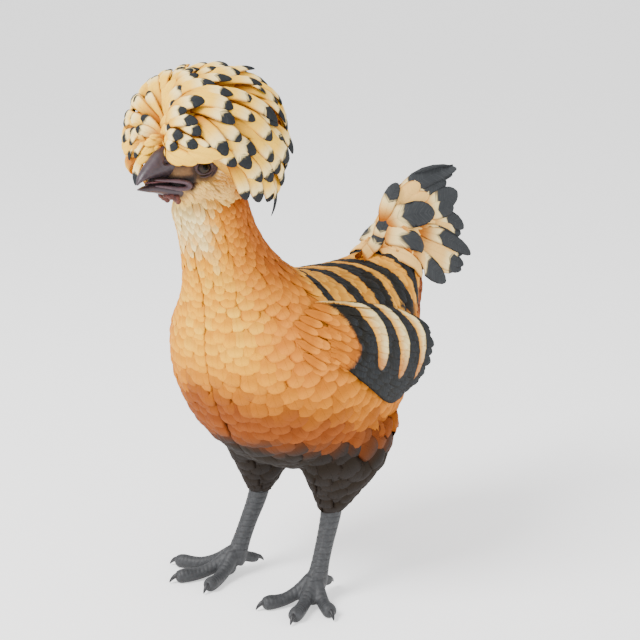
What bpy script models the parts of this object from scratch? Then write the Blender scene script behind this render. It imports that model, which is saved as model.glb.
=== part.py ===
"""Polish crested hen, a still life-size model made of closed solids.

The hen faces -Y and stands on the floor at z = 0, with her left side at +X. Her flesh is lofted through
stations, each a line from the back to the underside with a half width, and is parted by thin cuts. Crest,
wing and tail feathers are vanes laid on curved sheets and joined to the part that they grow from.
Sizes in the tables are millimetres, and MM turns them into metres at the end.
"""
import math
import random

import bmesh
import bpy
import numpy as np
from mathutils import Vector
from mathutils.bvhtree import BVHTree

MM = 0.001
GAP = 0.3
SEED = 11

# Neck, body, rump and root of the tail, from the throat on: back y, back z, underside y, underside z, half width
BODY_STATIONS = [
    (-64, 332, -112, 314, 16), (-60, 318, -111, 301, 23.5), (-54, 302, -105, 286, 26.5), (-46, 286, -100, 269, 29.5),
    (-34, 270, -94, 250, 36), (-16, 256, -91, 230, 46.5), (6, 247, -91.5, 208, 60.5), (26, 243, -88, 184, 71.5),
    (44, 241, -79, 157, 78), (58, 241, -61, 128, 79), (70, 241, -31, 105, 76), (82, 241.5, 8, 95, 70),
    (94, 243, 42, 100, 63), (103, 245, 70, 115, 53), (111, 250, 95, 140, 43), (117, 257, 117, 165, 34),
    (122, 266, 136, 189, 26), (127, 275, 150, 209, 18), (133, 281, 157, 228, 11)]
NECK_END = 4
TORSO_END = 13
RUMP_END = 15
BODY_SQUARENESS = 2.25
BODY_SIDES = 24

# Head from the beak to the nape, in the same five sizes
HEAD_STATIONS = [
    (-127.5, 350, -126, 326, 8.5), (-122, 356, -120, 318, 12.5), (-112, 362, -111, 312, 16.5),
    (-101, 365, -102, 307, 19), (-90, 366, -92, 303, 20.5), (-78, 365, -81, 300, 21),
    (-66, 361, -68, 301, 20), (-56, 352, -58, 306, 17), (-50, 342, -51, 315, 10)]
CHEEK_CENTRE = (19.5, -91, 321)
CHEEK_SIZE = (5.5, 13, 9.5)
EYE_CENTRE = (14.6, -105.5, 337.5)
EYE_RADIUS = 5.6
LID_RADIUS = 6.1
LID_THICKNESS = 1.5
LID_PLACE = (17.2, -106.2, 337.5)
LID_TURN = math.radians(18)

# Beak from the face to the tip, in the same five sizes
UPPER_BEAK_STATIONS = [
    (-121, 353, -119, 331, 9.3), (-129, 351.2, -127, 331.6, 8.3), (-134, 349, -133, 332, 7.3),
    (-139.5, 344.3, -139, 332, 6), (-145, 339.4, -145, 331.4, 4.5), (-149.5, 334.6, -149.3, 330, 2.8),
    (-152.6, 329.4, -151.4, 328.6, 0.9)]
LOWER_BEAK_STATIONS = [
    (-119, 326.6, -119, 316, 8), (-128, 327.3, -128, 319.3, 6.6), (-136, 328, -136, 321.7, 5.3),
    (-144, 327.6, -144, 323.4, 3.8), (-151, 326.2, -151, 325.2, 1.2)]
TONGUE_STATIONS = [
    (-126, 329.2, -126, 327.6, 3.4), (-133, 329.9, -133, 328.3, 3.3), (-139, 330.1, -139, 328.5, 2.5),
    (-143.5, 330, -143.5, 328.9, 1.2)]
NOSTRIL_PLACE = (7.4, -131.5, 342.4)
NOSTRIL_SIZE = (2.6, 2.6, 1.1)
# Slit of the mouth in the face: front and corner, each y, z and half height
MOUTH_FRONT = (-131, 329.6, 1.7)
MOUTH_CORNER = (-113, 324.8, 0.35)
# Wattle of one side: lobes as x, y, z and radius
WATTLE_LOBES = [(4.6, -124.5, 315, 3.9), (4.9, -119.5, 313.4, 4.4), (4.6, -122, 309.8, 3.2)]

# Crest: a globe round the crown, half sizes to the side, front, back, top and underside
CREST_CENTRE = (0, -86, 353)
CREST_OUTER = (55.5, 57, 58, 51, 63)
CREST_SQUARENESS = 2.2
CREST_SKULL = (21, 36, 34, 11, 38)
CREST_CORE_SHARE = 0.46
CORE_RIM_FRONT = (-160, 351)
CORE_RIM_BACK = (20, 326)
CREST_SOURCE = (0, -1, 0)
CREST_SINK = (0, 0.42, -0.91)
CREST_RIM = [(-150, 352), (-132, 351), (-118, 345), (-102, 339), (-88, 324), (-72, 306), (-52, 299), (0, 301)]
# On her right side the fringe hangs lower, as if the rim had slipped forwards
RIM_DROOP = 27
# Crest tiers: distance of the tips from the parting above the beak, feather length, feather width
CREST_TIERS = [
    (21, 18, 13), (38, 30, 16), (58, 42, 20), (80, 52, 23.5), (103, 58, 26), (126, 60, 27), (149, 60, 28),
    (171, 59, 28), (193, 56, 28), (214, 54, 28)]

# Wing: shoulder point y and z, then tip reach against angle below the level
SHOULDER = (-40, 222)
WING_REACH = [(0, 88), (4, 96), (9, 110), (14, 121), (22, 128), (30, 121), (36, 112), (43, 103), (48, 84), (52, 66)]
WING_FLARE = (80, 8, 186)
WING_CLEAR = 0.6
ARM_CENTRE = (-9, 205)
ARM_RADIUS = (39, 31)
ARM_TURN = math.radians(-24)
ARM_THICKNESS = 7.0
# Wing tiers: name, count, first and last angle, root and tip as shares of the reach, lift at root and at tip
WING_TIERS = [
    ("flights", 10, 2, 48, 0.42, 1.0, 2.6, 2.2), ("greater coverts", 6, 3, 47, 0.27, 0.76, 4.2, 4.8),
    ("median coverts", 5, 3, 46, 0.13, 0.54, 5.2, 7.2)]

# Tail tiers of one side: count, base of the top and of the lowest feather, rise at base and tip, lean, length
TAIL_TIERS = [
    (7, (5.4, 124, 251), (12, 140, 222), (58, 22), (26, 12), (4, 13), (85, 50)),
    (4, (7, 121, 246), (20, 133, 216), (56, 20), (46, 4), (5, 12), (56, 40))]
SHINGLE_STEP = 1.3

# Leg of the left side: thigh as z, centre x, centre y, half width, half depth
THIGH_STATIONS = [
    (66, 39, 1.5, 8.3, 8.8), (72, 39.5, 3.5, 12, 12.5), (79, 40, 6.5, 16, 17), (87, 40, 9.5, 20.5, 22.5),
    (95, 40, 12.5, 25, 28.5), (106, 40, 16.5, 29, 36.5), (118, 38, 20.5, 31, 43), (132, 37, 22.5, 32, 47)]
# Shank and ankle of each side as centre x, y, z and half width
SHANK_PATHS = {
    "left": [(39.5, 1.5, 65.7, 7.6), (40, -2, 56, 6.9), (40.8, -7.5, 44, 6.1), (41.5, -13, 31, 6),
             (41.6, -16.5, 19, 6.8)],
    "right": [(34, 1, 65.7, 7.6), (34.8, -2.5, 56, 6.9), (36, -8.5, 44, 6.1), (37.2, -14.5, 31, 6),
              (38.3, -19, 19, 6.8)]}
ANKLE_PATHS = {
    "left": [(41.6, -16.6, 18.6, 6.8), (41.2, -17.7, 11, 7.4), (40.6, -18, 4.6, 6.8)],
    "right": [(38.3, -19.1, 18.6, 6.8), (38.8, -20.5, 11, 7.4), (39.3, -21.1, 4.6, 6.8)]}
# How far the knee of each side is drawn in, fading out up to the height where the thigh meets the body
THIGH_SHIFT = {"left": 0, "right": -5.5}
THIGH_TOP = 125
# Toes of each foot: x and y of the claw tips in the order middle, inner, outer, back
TOE_TIPS = {
    "left": [(55.9, -60), (24.5, -61.5), (76, -38.5), (35, 11.5)],
    "right": [(-61.5, -67.5), (-25.5, -65.5), (-85, -43.5), (-32, 7.5)]}
TOE_NAMES = ("middle", "inner", "outer", "back")
TOE_RADIUS = 5.4
TOE_FLAT = 0.45
CLAW_LENGTH = 8.5

COLOURS = {
    "buff": (0.72, 0.42, 0.17, 0.75), "cream": (0.83, 0.62, 0.36, 0.7), "slate": (0.045, 0.048, 0.055, 0.6),
    "horn": (0.13, 0.10, 0.115, 0.4), "leg": (0.085, 0.092, 0.10, 0.6), "eye": (0.05, 0.04, 0.03, 0.1),
    "wattle": (0.28, 0.08, 0.06, 0.5), "tongue": (0.35, 0.16, 0.17, 0.4)}


def material(name):
    """Give the named finish, made on first use."""
    found = bpy.data.materials.get(name)
    if found:
        return found
    made = bpy.data.materials.new(name)
    made.use_nodes = True
    red, green, blue, roughness = COLOURS[name]
    shader = made.node_tree.nodes["Principled BSDF"]
    shader.inputs["Base Color"].default_value = (red, green, blue, 1)
    shader.inputs["Roughness"].default_value = roughness
    return made


def spline(table, place):
    """Read a smooth curve through the rows of a table at a fractional row number."""
    rows = np.asarray(table, float)
    index = min(max(int(math.floor(place)), 0), len(rows) - 2)
    part = place - index
    before = rows[index - 1] if index > 0 else 2 * rows[0] - rows[1]
    after = rows[index + 2] if index + 2 < len(rows) else 2 * rows[-1] - rows[-2]
    start, end = rows[index], rows[index + 1]
    return 0.5 * (2 * start + (end - before) * part + (2 * before - 5 * start + 4 * end - after) * part ** 2
                  + (3 * start - before - 3 * end + after) * part ** 3)


def between(table, place):
    """Read a value from pairs of place and value, straight between them."""
    places, values = zip(*table)
    return float(np.interp(place, places, values))


def ring_of(station, sides, squareness):
    """Place points round one station, from the back over the left side to the underside."""
    back_y, back_z, under_y, under_z, half_width = station
    points = []
    for side in range(sides):
        turn = 2 * math.pi * side / sides
        along = math.copysign(abs(math.cos(turn)) ** (2 / squareness), math.cos(turn))
        across = math.copysign(abs(math.sin(turn)) ** (2 / squareness), math.sin(turn))
        points.append(Vector((half_width * across, (back_y + under_y) / 2 + (back_y - under_y) / 2 * along,
                              (back_z + under_z) / 2 + (back_z - under_z) / 2 * along)))
    return points


def loft(rings):
    """Join rings of equal count into a closed shell with a fan at each end."""
    sides = len(rings[0])
    points = [point for ring in rings for point in ring]
    faces = []
    for row in range(len(rings) - 1):
        for side in range(sides):
            after = (side + 1) % sides
            low, high = row * sides, (row + 1) * sides
            faces.append((low + side, low + after, high + after, high + side))
    for row, flip in ((0, True), (len(rings) - 1, False)):
        centre = sum(rings[row], Vector()) / sides
        points.append(centre)
        for side in range(sides):
            pair = (row * sides + side, row * sides + (side + 1) % sides)
            faces.append((len(points) - 1, *(pair[::-1] if flip else pair)))
    return points, faces


def solid(name, shape, finish):
    """Make a named object of a closed shell whose points are millimetres."""
    points, faces = shape
    mesh = bpy.data.meshes.new(name)
    mesh.from_pydata([Vector(point) * MM for point in points], [], faces)
    work = bmesh.new()
    work.from_mesh(mesh)
    bmesh.ops.recalc_face_normals(work, faces=work.faces)
    work.to_mesh(mesh)
    work.free()
    mesh.materials.append(material(finish))
    made = bpy.data.objects.new(name, mesh)
    bpy.context.scene.collection.objects.link(made)
    return made


def remove(thing):
    """Take an object and its mesh out of the file."""
    mesh = thing.data
    bpy.data.objects.remove(thing)
    bpy.data.meshes.remove(mesh)


def keep_largest(mesh):
    """Leave only the largest closed surface of a mesh, welded and in triangles."""
    work = bmesh.new()
    work.from_mesh(mesh)
    bmesh.ops.remove_doubles(work, verts=work.verts, dist=0.002 * MM)
    bmesh.ops.triangulate(work, faces=work.faces)
    left = set(work.faces)
    shells = []
    while left:
        shell, front = set(), [left.pop()]
        while front:
            face = front.pop()
            shell.add(face)
            for edge in face.edges:
                for other in edge.link_faces:
                    if other in left:
                        left.discard(other)
                        front.append(other)
        shells.append(shell)
    largest = max(shells, key=lambda shell: sum(face.calc_area() for face in shell))
    bmesh.ops.delete(work, geom=[face for face in work.faces if face not in largest], context="FACES")
    bmesh.ops.delete(work, geom=[vert for vert in work.verts if not vert.link_faces], context="VERTS")
    work.to_mesh(mesh)
    work.free()


def combine(target, pieces, operation, solver="EXACT"):
    """Join or cut target with a collection of closed pieces, apply it, and remove the pieces."""
    group = bpy.data.collections.new("pieces")
    bpy.context.scene.collection.children.link(group)
    for piece in pieces:
        bpy.context.scene.collection.objects.unlink(piece)
        group.objects.link(piece)
    step = target.modifiers.new(operation.lower(), "BOOLEAN")
    step.operation = operation
    step.solver = solver
    step.operand_type = "COLLECTION"
    step.collection = group
    evaluated = target.evaluated_get(bpy.context.evaluated_depsgraph_get())
    mesh = bpy.data.meshes.new_from_object(evaluated)
    target.modifiers.clear()
    old = target.data
    mesh.name = target.name
    target.data = mesh
    bpy.data.meshes.remove(old)
    for piece in list(group.objects):
        remove(piece)
    bpy.data.collections.remove(group)
    keep_largest(mesh)
    finish = mesh.materials[0]
    mesh.materials.clear()
    mesh.materials.append(finish)
    return target


def swollen(thing, gap=GAP):
    """Copy an object with its surface moved outwards by the gap, as a cutter."""
    mesh = thing.data.copy()
    normals = [vertex.normal.copy() for vertex in mesh.vertices]
    for vertex, normal in zip(mesh.vertices, normals):
        vertex.co += normal * gap * 1.15 * MM
    copy = bpy.data.objects.new(thing.name + " cutter", mesh)
    bpy.context.scene.collection.objects.link(copy)
    return copy


def cut_clear(target, *others):
    """Cut every other object, swollen by the gap, out of the target."""
    return combine(target, [swollen(other) for other in others], "DIFFERENCE")


def globe(centre, size, around=16, rows=9):
    """Close an ellipsoid about a centre."""
    rings = []
    for row in range(1, rows):
        polar = math.pi * row / rows
        rings.append([Vector(centre) + Vector((size[0] * math.sin(polar) * math.cos(2 * math.pi * side / around),
                                               size[1] * math.sin(polar) * math.sin(2 * math.pi * side / around),
                                               size[2] * math.cos(polar))) for side in range(around)])
    return loft(rings)


def tube(path, sides, flatness=1.0):
    """Loft a round limb along points that each hold x, y, z and a half width."""
    points = [Vector(row[:3]) for row in path]
    rings = []
    for index, point in enumerate(points):
        ahead = (points[min(index + 1, len(points) - 1)] - points[max(index - 1, 0)]).normalized()
        across = ahead.cross(Vector((0, 0, 1)))
        if across.length < 0.6:
            across = ahead.cross(Vector((0, 1, 0)))
        across.normalize()
        rise = across.cross(ahead)
        radius = path[index][3]
        rings.append([point + across * radius * math.cos(2 * math.pi * side / sides)
                      + rise * radius * flatness * math.sin(2 * math.pi * side / sides) for side in range(sides)])
    return loft(rings)


def mirrored(shape):
    """Turn a shape of the left side into its twin on the right."""
    points, faces = shape
    return [Vector((-point[0], point[1], point[2])) for point in points], [face[::-1] for face in faces]


def parting(place):
    """Give the gap between two nodes of the body at a station, measured along the back in stations."""
    before, after = spline(BODY_STATIONS, place - 0.5), spline(BODY_STATIONS, place + 0.5)
    return GAP / math.dist(before[:2], after[:2])


def flesh(name, stations, first, last, rows, sides, squareness, finish):
    """Loft one length of the flesh between two fractional station numbers."""
    places = np.linspace(first, last, rows)
    return solid(name, loft([ring_of(spline(stations, place), sides, squareness) for place in places]), finish)


def vane(sheet, middle, half_span, lift=lambda share: 0.0, thickness=1.0, plan=None):
    """Close one feather on a sheet, where sheet(across, along) gives a point and its normal.

    The feather keeps the same split into triangles on both faces. plan holds, for each station from root to
    tip, how far along it is and its share of the half span.
    """
    plan = plan or [(0.0, 0.45), (0.42, 0.92), (0.82, 0.92), (1.0, 0.25)]
    points = []
    for along, share in plan:
        body = thickness * (1.0 - 0.35 * along)
        rim = 0.55 * body
        for across, thick in ((-1, rim), (0, body), (1, rim)):
            point, normal = sheet(middle + across * half_span * share, along)
            point = point + normal * lift(across * share)
            points.append(point + normal * thick / 2)
            points.append(point - normal * thick / 2)
    faces = []
    for row in range(len(plan) - 1):
        low, high = 6 * row, 6 * (row + 1)
        for column in (0, 2):
            faces += [(low + column, low + column + 2, high + column + 2), (low + column, high + column + 2, high + column)]
            faces += [(low + column + 1, high + column + 3, low + column + 3),
                      (low + column + 1, high + column + 1, high + column + 3)]
        for near, far in ((0, 1), (5, 4)):
            faces += [(low + near, high + near, high + far), (low + near, high + far, low + far)]
    for row, flip in ((0, False), (6 * (len(plan) - 1), True)):
        for face in ((0, 1, 3), (0, 3, 2), (2, 3, 5), (2, 5, 4)):
            face = tuple(row + corner for corner in face)
            faces.append(face[::-1] if flip else face)
    return points, faces


def with_normals(place):
    """Turn a function that places points on a sheet into one that also gives the normal."""
    def sheet(across, along):
        step = 0.02
        side = place(across + step, along) - place(across - step, along)
        ahead = place(across, along + step) - place(across, along - step)
        return place(across, along), side.cross(ahead).normalized()
    return sheet


def reach_of(direction, sizes):
    """Give an egg's radius along a direction, from its half sizes to side, front, back, top and underside."""
    side, front, back, top, under = sizes
    depth = front if direction.y < 0 else back
    height = top if direction.z > 0 else under
    power = CREST_SQUARENESS
    return (abs(direction.x / side) ** power + abs(direction.y / depth) ** power
            + abs(direction.z / height) ** power) ** (-1 / power)


def crest_core_reach(direction):
    """Give the radius of the crest's core along a direction."""
    skull = reach_of(direction, CREST_SKULL)
    return skull + CREST_CORE_SHARE * (reach_of(direction, CREST_OUTER) - skull)


def crest_line(turn):
    """Follow the lie of the crest from its parting over the globe: directions and the distance gone.

    Seen flat from the sink under the nape, every line runs straight away from the source above the beak.
    """
    source, sink = Vector(CREST_SOURCE).normalized(), Vector(CREST_SINK).normalized()
    side = Vector((1, 0, 0))
    ahead = side.cross(sink).normalized()
    if ahead.y > 0:
        ahead.negate()
    start = source.dot(ahead) / (1 - source.dot(sink))
    directions, gone = [], [0.0]
    for step in range(160):
        away = 0.012 * step * (1 + 0.02 * step)
        flat_ahead, flat_side = start - away * math.cos(turn), away * math.sin(turn)
        size = flat_ahead ** 2 + flat_side ** 2
        directions.append(((2 * flat_ahead * ahead + 2 * flat_side * side + (size - 1) * sink) / (1 + size)))
        if step:
            places = [way * reach_of(way, CREST_OUTER) for way in directions[-2:]]
            gone.append(gone[-1] + (places[1] - places[0]).length)
    return directions, gone


class CrestSheet:
    """One tier of the crest, with turns spread evenly across its feathers."""

    def __init__(self, lines, tip, length, width):
        self.lines = lines
        self.root, self.length = tip - length, length
        rim = [self.point_on(turn, tip - 0.35 * length) for turn in lines.turns]
        gone = np.concatenate([[0], np.cumsum([(b - a).length for a, b in zip(rim, rim[1:])])])
        self.count = max(3, int(gone[-1] / width))
        self.turn_of = lambda place: float(np.interp(place * gone[-1] / self.count, gone, lines.turns))

    def point_on(self, turn, distance):
        way = self.lines.direction(turn, distance)
        return way * reach_of(way, CREST_OUTER)

    def place(self, across, along):
        way = self.lines.direction(self.turn_of(across), self.root + along * self.length)
        core, outer = crest_core_reach(way), reach_of(way, CREST_OUTER)
        rise = math.sin(math.pi / 2 * min(along, 1)) if along > 0 else along * 1.5
        return Vector(CREST_CENTRE) + way * (core - 2.4 + (outer - core + 2.4) * rise)


class CrestLines:
    """The crest's lines for many turns about the parting, read at any turn between."""

    def __init__(self, widest=math.radians(128), count=65):
        self.turns = np.linspace(-widest, widest, count)
        self.table = [crest_line(turn) for turn in self.turns]

    def direction(self, turn, distance):
        place = float(np.interp(turn, self.turns, range(len(self.turns))))
        low = min(int(place), len(self.turns) - 2)
        found = []
        for ways, gone in self.table[low:low + 2]:
            spot = float(np.interp(max(distance, 0), gone, range(len(gone))))
            index = min(int(spot), len(ways) - 2)
            found.append(ways[index].lerp(ways[index + 1], spot - index))
        return found[0].lerp(found[1], place - low).normalized()


def crest_feathers(draw):
    """Lay the crest's feathers tier by tier, each cut short at the rim over face and neck."""
    lines = CrestLines()
    feathers = []
    for number, (tip, length, width) in enumerate(CREST_TIERS):
        sheet = CrestSheet(lines, tip, length, width)
        for index in range(sheet.count):
            middle = index + (0.5 if number % 2 else 0.02)
            share = 1.0 + draw.uniform(-0.05, 0.07)
            while share > 0.5:
                end = sheet.place(middle, share)
                droop = RIM_DROOP * max(0.0, -end.x / CREST_OUTER[0])
                if end.z > between(CREST_RIM, end.y + droop) + draw.uniform(-6, 3):
                    break
                share -= 0.05
            if share <= 0.5 or abs(sheet.turn_of(middle)) > lines.turns[-1] - 0.02:
                continue
            half_span = 0.5 * (1 - 0.9 / width) * draw.uniform(0.92, 1.0)
            point_along = with_normals(lambda across, along, s=share, p=sheet: p.place(across, along * s))
            feathers.append(vane(point_along, middle, half_span))
    return feathers


def make_crest(*covered):
    """Build the crest's core, join its feathers to it, and cut it clear of what it covers."""
    around, rows = 16, 8
    rings = []
    for row in range(1, rows):
        polar = math.pi * row / rows
        ring = []
        for side in range(around):
            turn = 2 * math.pi * side / around
            way = Vector((math.sin(polar) * math.cos(turn), math.sin(polar) * math.sin(turn), math.cos(polar)))
            ring.append(Vector(CREST_CENTRE) + way * crest_core_reach(way))
        rings.append(ring)
    crest = solid("crest", loft(rings), "cream")
    below = solid("below the rim", slab(CORE_RIM_FRONT, CORE_RIM_BACK, 90, 60), "cream")
    combine(crest, [below], "DIFFERENCE")
    draw = random.Random(SEED)
    feathers = [solid("feather", shape, "cream") for shape in crest_feathers(draw)]
    combine(crest, feathers, "UNION")
    return cut_clear(crest, *covered)


def slab(front, back, half_width, depth):
    """Close a block whose top runs from a front to a back point, each y and z."""
    corners = []
    for drop in (0, depth):
        for side in (-half_width, half_width):
            for y, z in (front, back):
                corners.append(Vector((side, y, z - drop)))
    return corners, [(0, 1, 3, 2), (4, 6, 7, 5), (0, 4, 5, 1), (2, 3, 7, 6), (0, 2, 6, 4), (1, 5, 7, 3)]


def side_of_body():
    """Give a function that finds how far out the body's left side lies at a y and z."""
    places = np.linspace(NECK_END - 2, TORSO_END + 2, 60)
    points, faces = loft([ring_of(spline(BODY_STATIONS, place), 72, BODY_SQUARENESS) for place in places])
    tree = BVHTree.FromPolygons(points, faces)

    def find(y, z):
        hit = tree.ray_cast(Vector((200, y, z)), Vector((-1, 0, 0)))[0]
        return hit.x if hit else 0.0
    return find


class WingSheet:
    """The wing's surface over the body's side, in rays from the shoulder."""

    def __init__(self, body_side):
        self.body_side = body_side

    def side(self, y, z, lift):
        top, middle_y, middle_z = WING_FLARE
        fall = 22 * ((z - middle_z) / (42 if z > middle_z else 60)) ** 2
        dome = top - 9 * ((y - middle_y) / 95) ** 2 - fall
        body = self.body_side(y, z) + WING_CLEAR
        gap = dome - body
        return body + (gap + math.sqrt(gap * gap + 16)) / 2 + lift

    def along_ray(self, angle, distance, lift):
        turn = math.radians(angle)
        y = SHOULDER[0] + distance * math.cos(turn)
        z = SHOULDER[1] - distance * math.sin(turn)
        return Vector((self.side(y, z, lift), y, z))

    def tier(self, count, first, last, root, tip, lift_root, lift_tip):
        def place(across, along):
            angle = first + (last - first) * across / (count - 1)
            reach = between(WING_REACH, angle)
            distance = reach * (root + (tip - root) * along)
            return self.along_ray(angle, distance, lift_root + (lift_tip - lift_root) * along)
        return with_normals(place)


def arm_of_wing(wing):
    """Close the rounded pad of shoulder and arm that the wing's feathers grow from."""
    around, rows = 14, 3
    outer, inner = [], []
    for row in range(1, rows + 1):
        share = row / rows
        for rings, lift in ((outer, 0.9 + ARM_THICKNESS * math.sqrt(max(0.0, 1 - share ** 2))), (inner, 0.0)):
            ring = []
            for side in range(around):
                turn = 2 * math.pi * side / around
                ahead, across = ARM_RADIUS[0] * share * math.cos(turn), ARM_RADIUS[1] * share * math.sin(turn)
                y = ARM_CENTRE[0] + ahead * math.cos(ARM_TURN) - across * math.sin(ARM_TURN)
                z = ARM_CENTRE[1] + ahead * math.sin(ARM_TURN) + across * math.cos(ARM_TURN)
                ring.append(Vector((wing.side(y, z, lift), y, z)))
            rings.append(ring)
    return loft(outer + inner[::-1])


def wing_shapes(draw):
    """Lay the left wing's arm and feathers: the shapes to join."""
    wing = WingSheet(side_of_body())
    shapes = [arm_of_wing(wing)]
    for _, count, first, last, root, tip, lift_root, lift_tip in WING_TIERS:
        for index in range(count):
            stretch = draw.uniform(0.97, 1.03)
            sheet = wing.tier(count, first, last, root, root + (tip - root) * stretch, lift_root, lift_tip)
            shapes.append(vane(sheet, index, 0.86, lambda across: SHINGLE_STEP * across))
    return shapes


def make_wing(name, side, draw):
    """Join one wing's feathers to its arm; the right wing is the left one's mirror image."""
    shapes = wing_shapes(draw)
    if side < 0:
        shapes = [mirrored(shape) for shape in shapes]
    pieces = [solid(name if not index else "feather", shape, "slate") for index, shape in enumerate(shapes)]
    return combine(pieces[0], pieces[1:], "UNION")


def tail_sheet(tier, side, stretch):
    """Give the sheet of one tier of tail feathers on one side."""
    count, top_base, low_base, top_rise, low_rise, lean, length = tier

    def place(across, along):
        share = across / (count - 1)
        base_x, base_y, base_z = (top + (low - top) * share for top, low in zip(top_base, low_base))
        reach = (length[0] + (length[1] - length[0]) * share) * stretch
        out = math.radians(lean[0] + (lean[1] - lean[0]) * share)
        start = top_rise[0] + (top_rise[1] - top_rise[0]) * share
        end = low_rise[0] + (low_rise[1] - low_rise[0]) * share
        gone_y = gone_z = 0.0
        steps = 6
        for step in range(steps):
            rise = math.radians(start + (end - start) * along * (step + 0.5) / steps)
            gone_y += math.cos(rise) * along * reach / steps
            gone_z += math.sin(rise) * along * reach / steps
        x = base_x + along * reach * math.sin(out)
        return Vector((side * x, base_y + gone_y, base_z + gone_z))
    return with_normals(place)


def make_tail(draw):
    """Join the tail's feathers to their root, two fans that lean together like a tent."""
    tail = flesh("tail", BODY_STATIONS, RUMP_END + parting(RUMP_END), len(BODY_STATIONS) - 1, 5, 16,
                 BODY_SQUARENESS, "buff")
    feathers = []
    for tier in TAIL_TIERS:
        for side in (1, -1):
            for index in range(tier[0]):
                sheet = tail_sheet(tier, side, draw.uniform(0.94, 1.05))
                feathers.append(solid("feather", vane(sheet, index, 0.74, lambda across: SHINGLE_STEP * across), "buff"))
    return combine(tail, feathers, "UNION")


def make_head():
    """Loft the head, add cheeks and lids, sink the eye sockets and open the corner of the mouth."""
    head = flesh("head", HEAD_STATIONS, 0, len(HEAD_STATIONS) - 1, 9, 16, 2.1, "buff")
    added, sockets = [], []
    for side in (1, -1):
        cheek = (side * CHEEK_CENTRE[0], *CHEEK_CENTRE[1:])
        added.append(solid("cheek", globe(cheek, CHEEK_SIZE, 9, 5), "buff"))
        added.append(solid("lid", lid(side), "buff"))
        eye = (side * EYE_CENTRE[0], *EYE_CENTRE[1:])
        sockets.append(solid("socket", globe(eye, [EYE_RADIUS + GAP] * 3, 12, 7), "buff"))
    combine(head, added, "UNION")
    front_y, front_z, front_half = MOUTH_FRONT
    corner_y, corner_z, corner_half = MOUTH_CORNER
    slit = [[Vector((side * 15, y, z + up)) for side, up in ((1, half), (-1, half), (-1, -half), (1, -half))]
            for y, z, half in ((front_y, front_z, front_half), (corner_y, corner_z, corner_half))]
    return combine(head, sockets + [solid("slit", loft(slit), "buff")], "DIFFERENCE")


def lid(side):
    """Close the ring of the lids round one eye, narrower from top to bottom than from front to back."""
    around, section = 12, 5
    turn_out = Vector((math.cos(LID_TURN), -math.sin(LID_TURN), 0))
    ahead = Vector((math.sin(LID_TURN), math.cos(LID_TURN), 0))
    points, faces = [], []
    for step in range(around):
        turn = 2 * math.pi * step / around
        spoke = ahead * math.cos(turn) + Vector((0, 0, 0.82)) * math.sin(turn)
        for corner in range(section):
            bend = 2 * math.pi * corner / section
            point = Vector(LID_PLACE) + spoke * (LID_RADIUS + LID_THICKNESS * math.cos(bend))
            point += turn_out * LID_THICKNESS * math.sin(bend)
            points.append(Vector((side * point.x, point.y, point.z)))
            after, beside = (step + 1) % around, (corner + 1) % section
            faces.append((step * section + corner, step * section + beside,
                          after * section + beside, after * section + corner))
    return points, faces


def make_beak(head):
    """Build the two halves of the beak against the face, with the tongue between them."""
    upper = flesh("beak_upper", UPPER_BEAK_STATIONS, 0, len(UPPER_BEAK_STATIONS) - 1, 9, 12, 2.2, "horn")
    nostrils = [solid("nostril", globe((side * NOSTRIL_PLACE[0], *NOSTRIL_PLACE[1:]), NOSTRIL_SIZE, 8, 5), "horn")
                for side in (1, -1)]
    combine(upper, nostrils + [swollen(head)], "DIFFERENCE")
    lower = flesh("beak_lower", LOWER_BEAK_STATIONS, 0, len(LOWER_BEAK_STATIONS) - 1, 7, 12, 2.3, "horn")
    cut_clear(lower, head)
    flesh("tongue", TONGUE_STATIONS, 0, len(TONGUE_STATIONS) - 1, 5, 8, 2.3, "tongue")
    return upper, lower


def make_leg(side_name, torso):
    """Build one leg: feathered thigh, shank, foot on flats, and four claws."""
    side = 1 if side_name == "left" else -1
    inward = THIGH_SHIFT[side_name]
    rings = []
    for z, x, y, half_width, half_depth in THIGH_STATIONS:
        lean = inward * (THIGH_TOP - z) / (THIGH_TOP - THIGH_STATIONS[0][0])
        rings.append([Vector((side * (x + lean + half_width * math.cos(turn)), y + half_depth * math.sin(turn), z))
                      for turn in (2 * math.pi * step / 16 for step in range(16))])
    thigh = solid("thigh_" + side_name, loft(rings), "slate")
    cut_clear(thigh, torso)
    shank_path, ankle_path = ([(side * row[0], *row[1:]) for row in paths[side_name]]
                              for paths in (SHANK_PATHS, ANKLE_PATHS))
    solid("shank_" + side_name, level_loft(shank_path), "leg")
    foot = solid("foot_" + side_name, level_loft(ankle_path), "leg")
    x, y, _, _ = ankle_path[-1]
    toes, claws = [], []
    for name, tip in zip(TOE_NAMES, TOE_TIPS[side_name]):
        away = Vector((tip[0] - x, tip[1] - y, 0))
        length, away = away.length, away.normalized()
        thin = 0.86 if name == "back" else 1.0
        toes.append(solid("toe", tube(toe_path(Vector((x, y, 0)), away, length - CLAW_LENGTH, thin), 8), "leg"))
        end = Vector((x, y, 0)) + away * (length - CLAW_LENGTH)
        path = [(*(end + away * (CLAW_LENGTH * along - 3) + Vector((0, 0, height))), half)
                for along, height, half in ((0, 5.2, 2.0), (0.45, 4.9, 1.8), (0.95, 3.0, 1.15), (1.33, 0.45, 0.55))]
        claws.append(solid(f"claw_{side_name}_{name}", tube(path, 6), "horn"))
    combine(foot, toes, "UNION")
    combine(foot, [below_floor()], "DIFFERENCE")
    for claw in claws:
        combine(claw, [below_floor(), swollen(foot)], "DIFFERENCE")


def below_floor():
    """Make a cutter that fills the space under the floor."""
    return solid("floor", slab((-200, 0), (200, 0), 200, 20), "leg")


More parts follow.
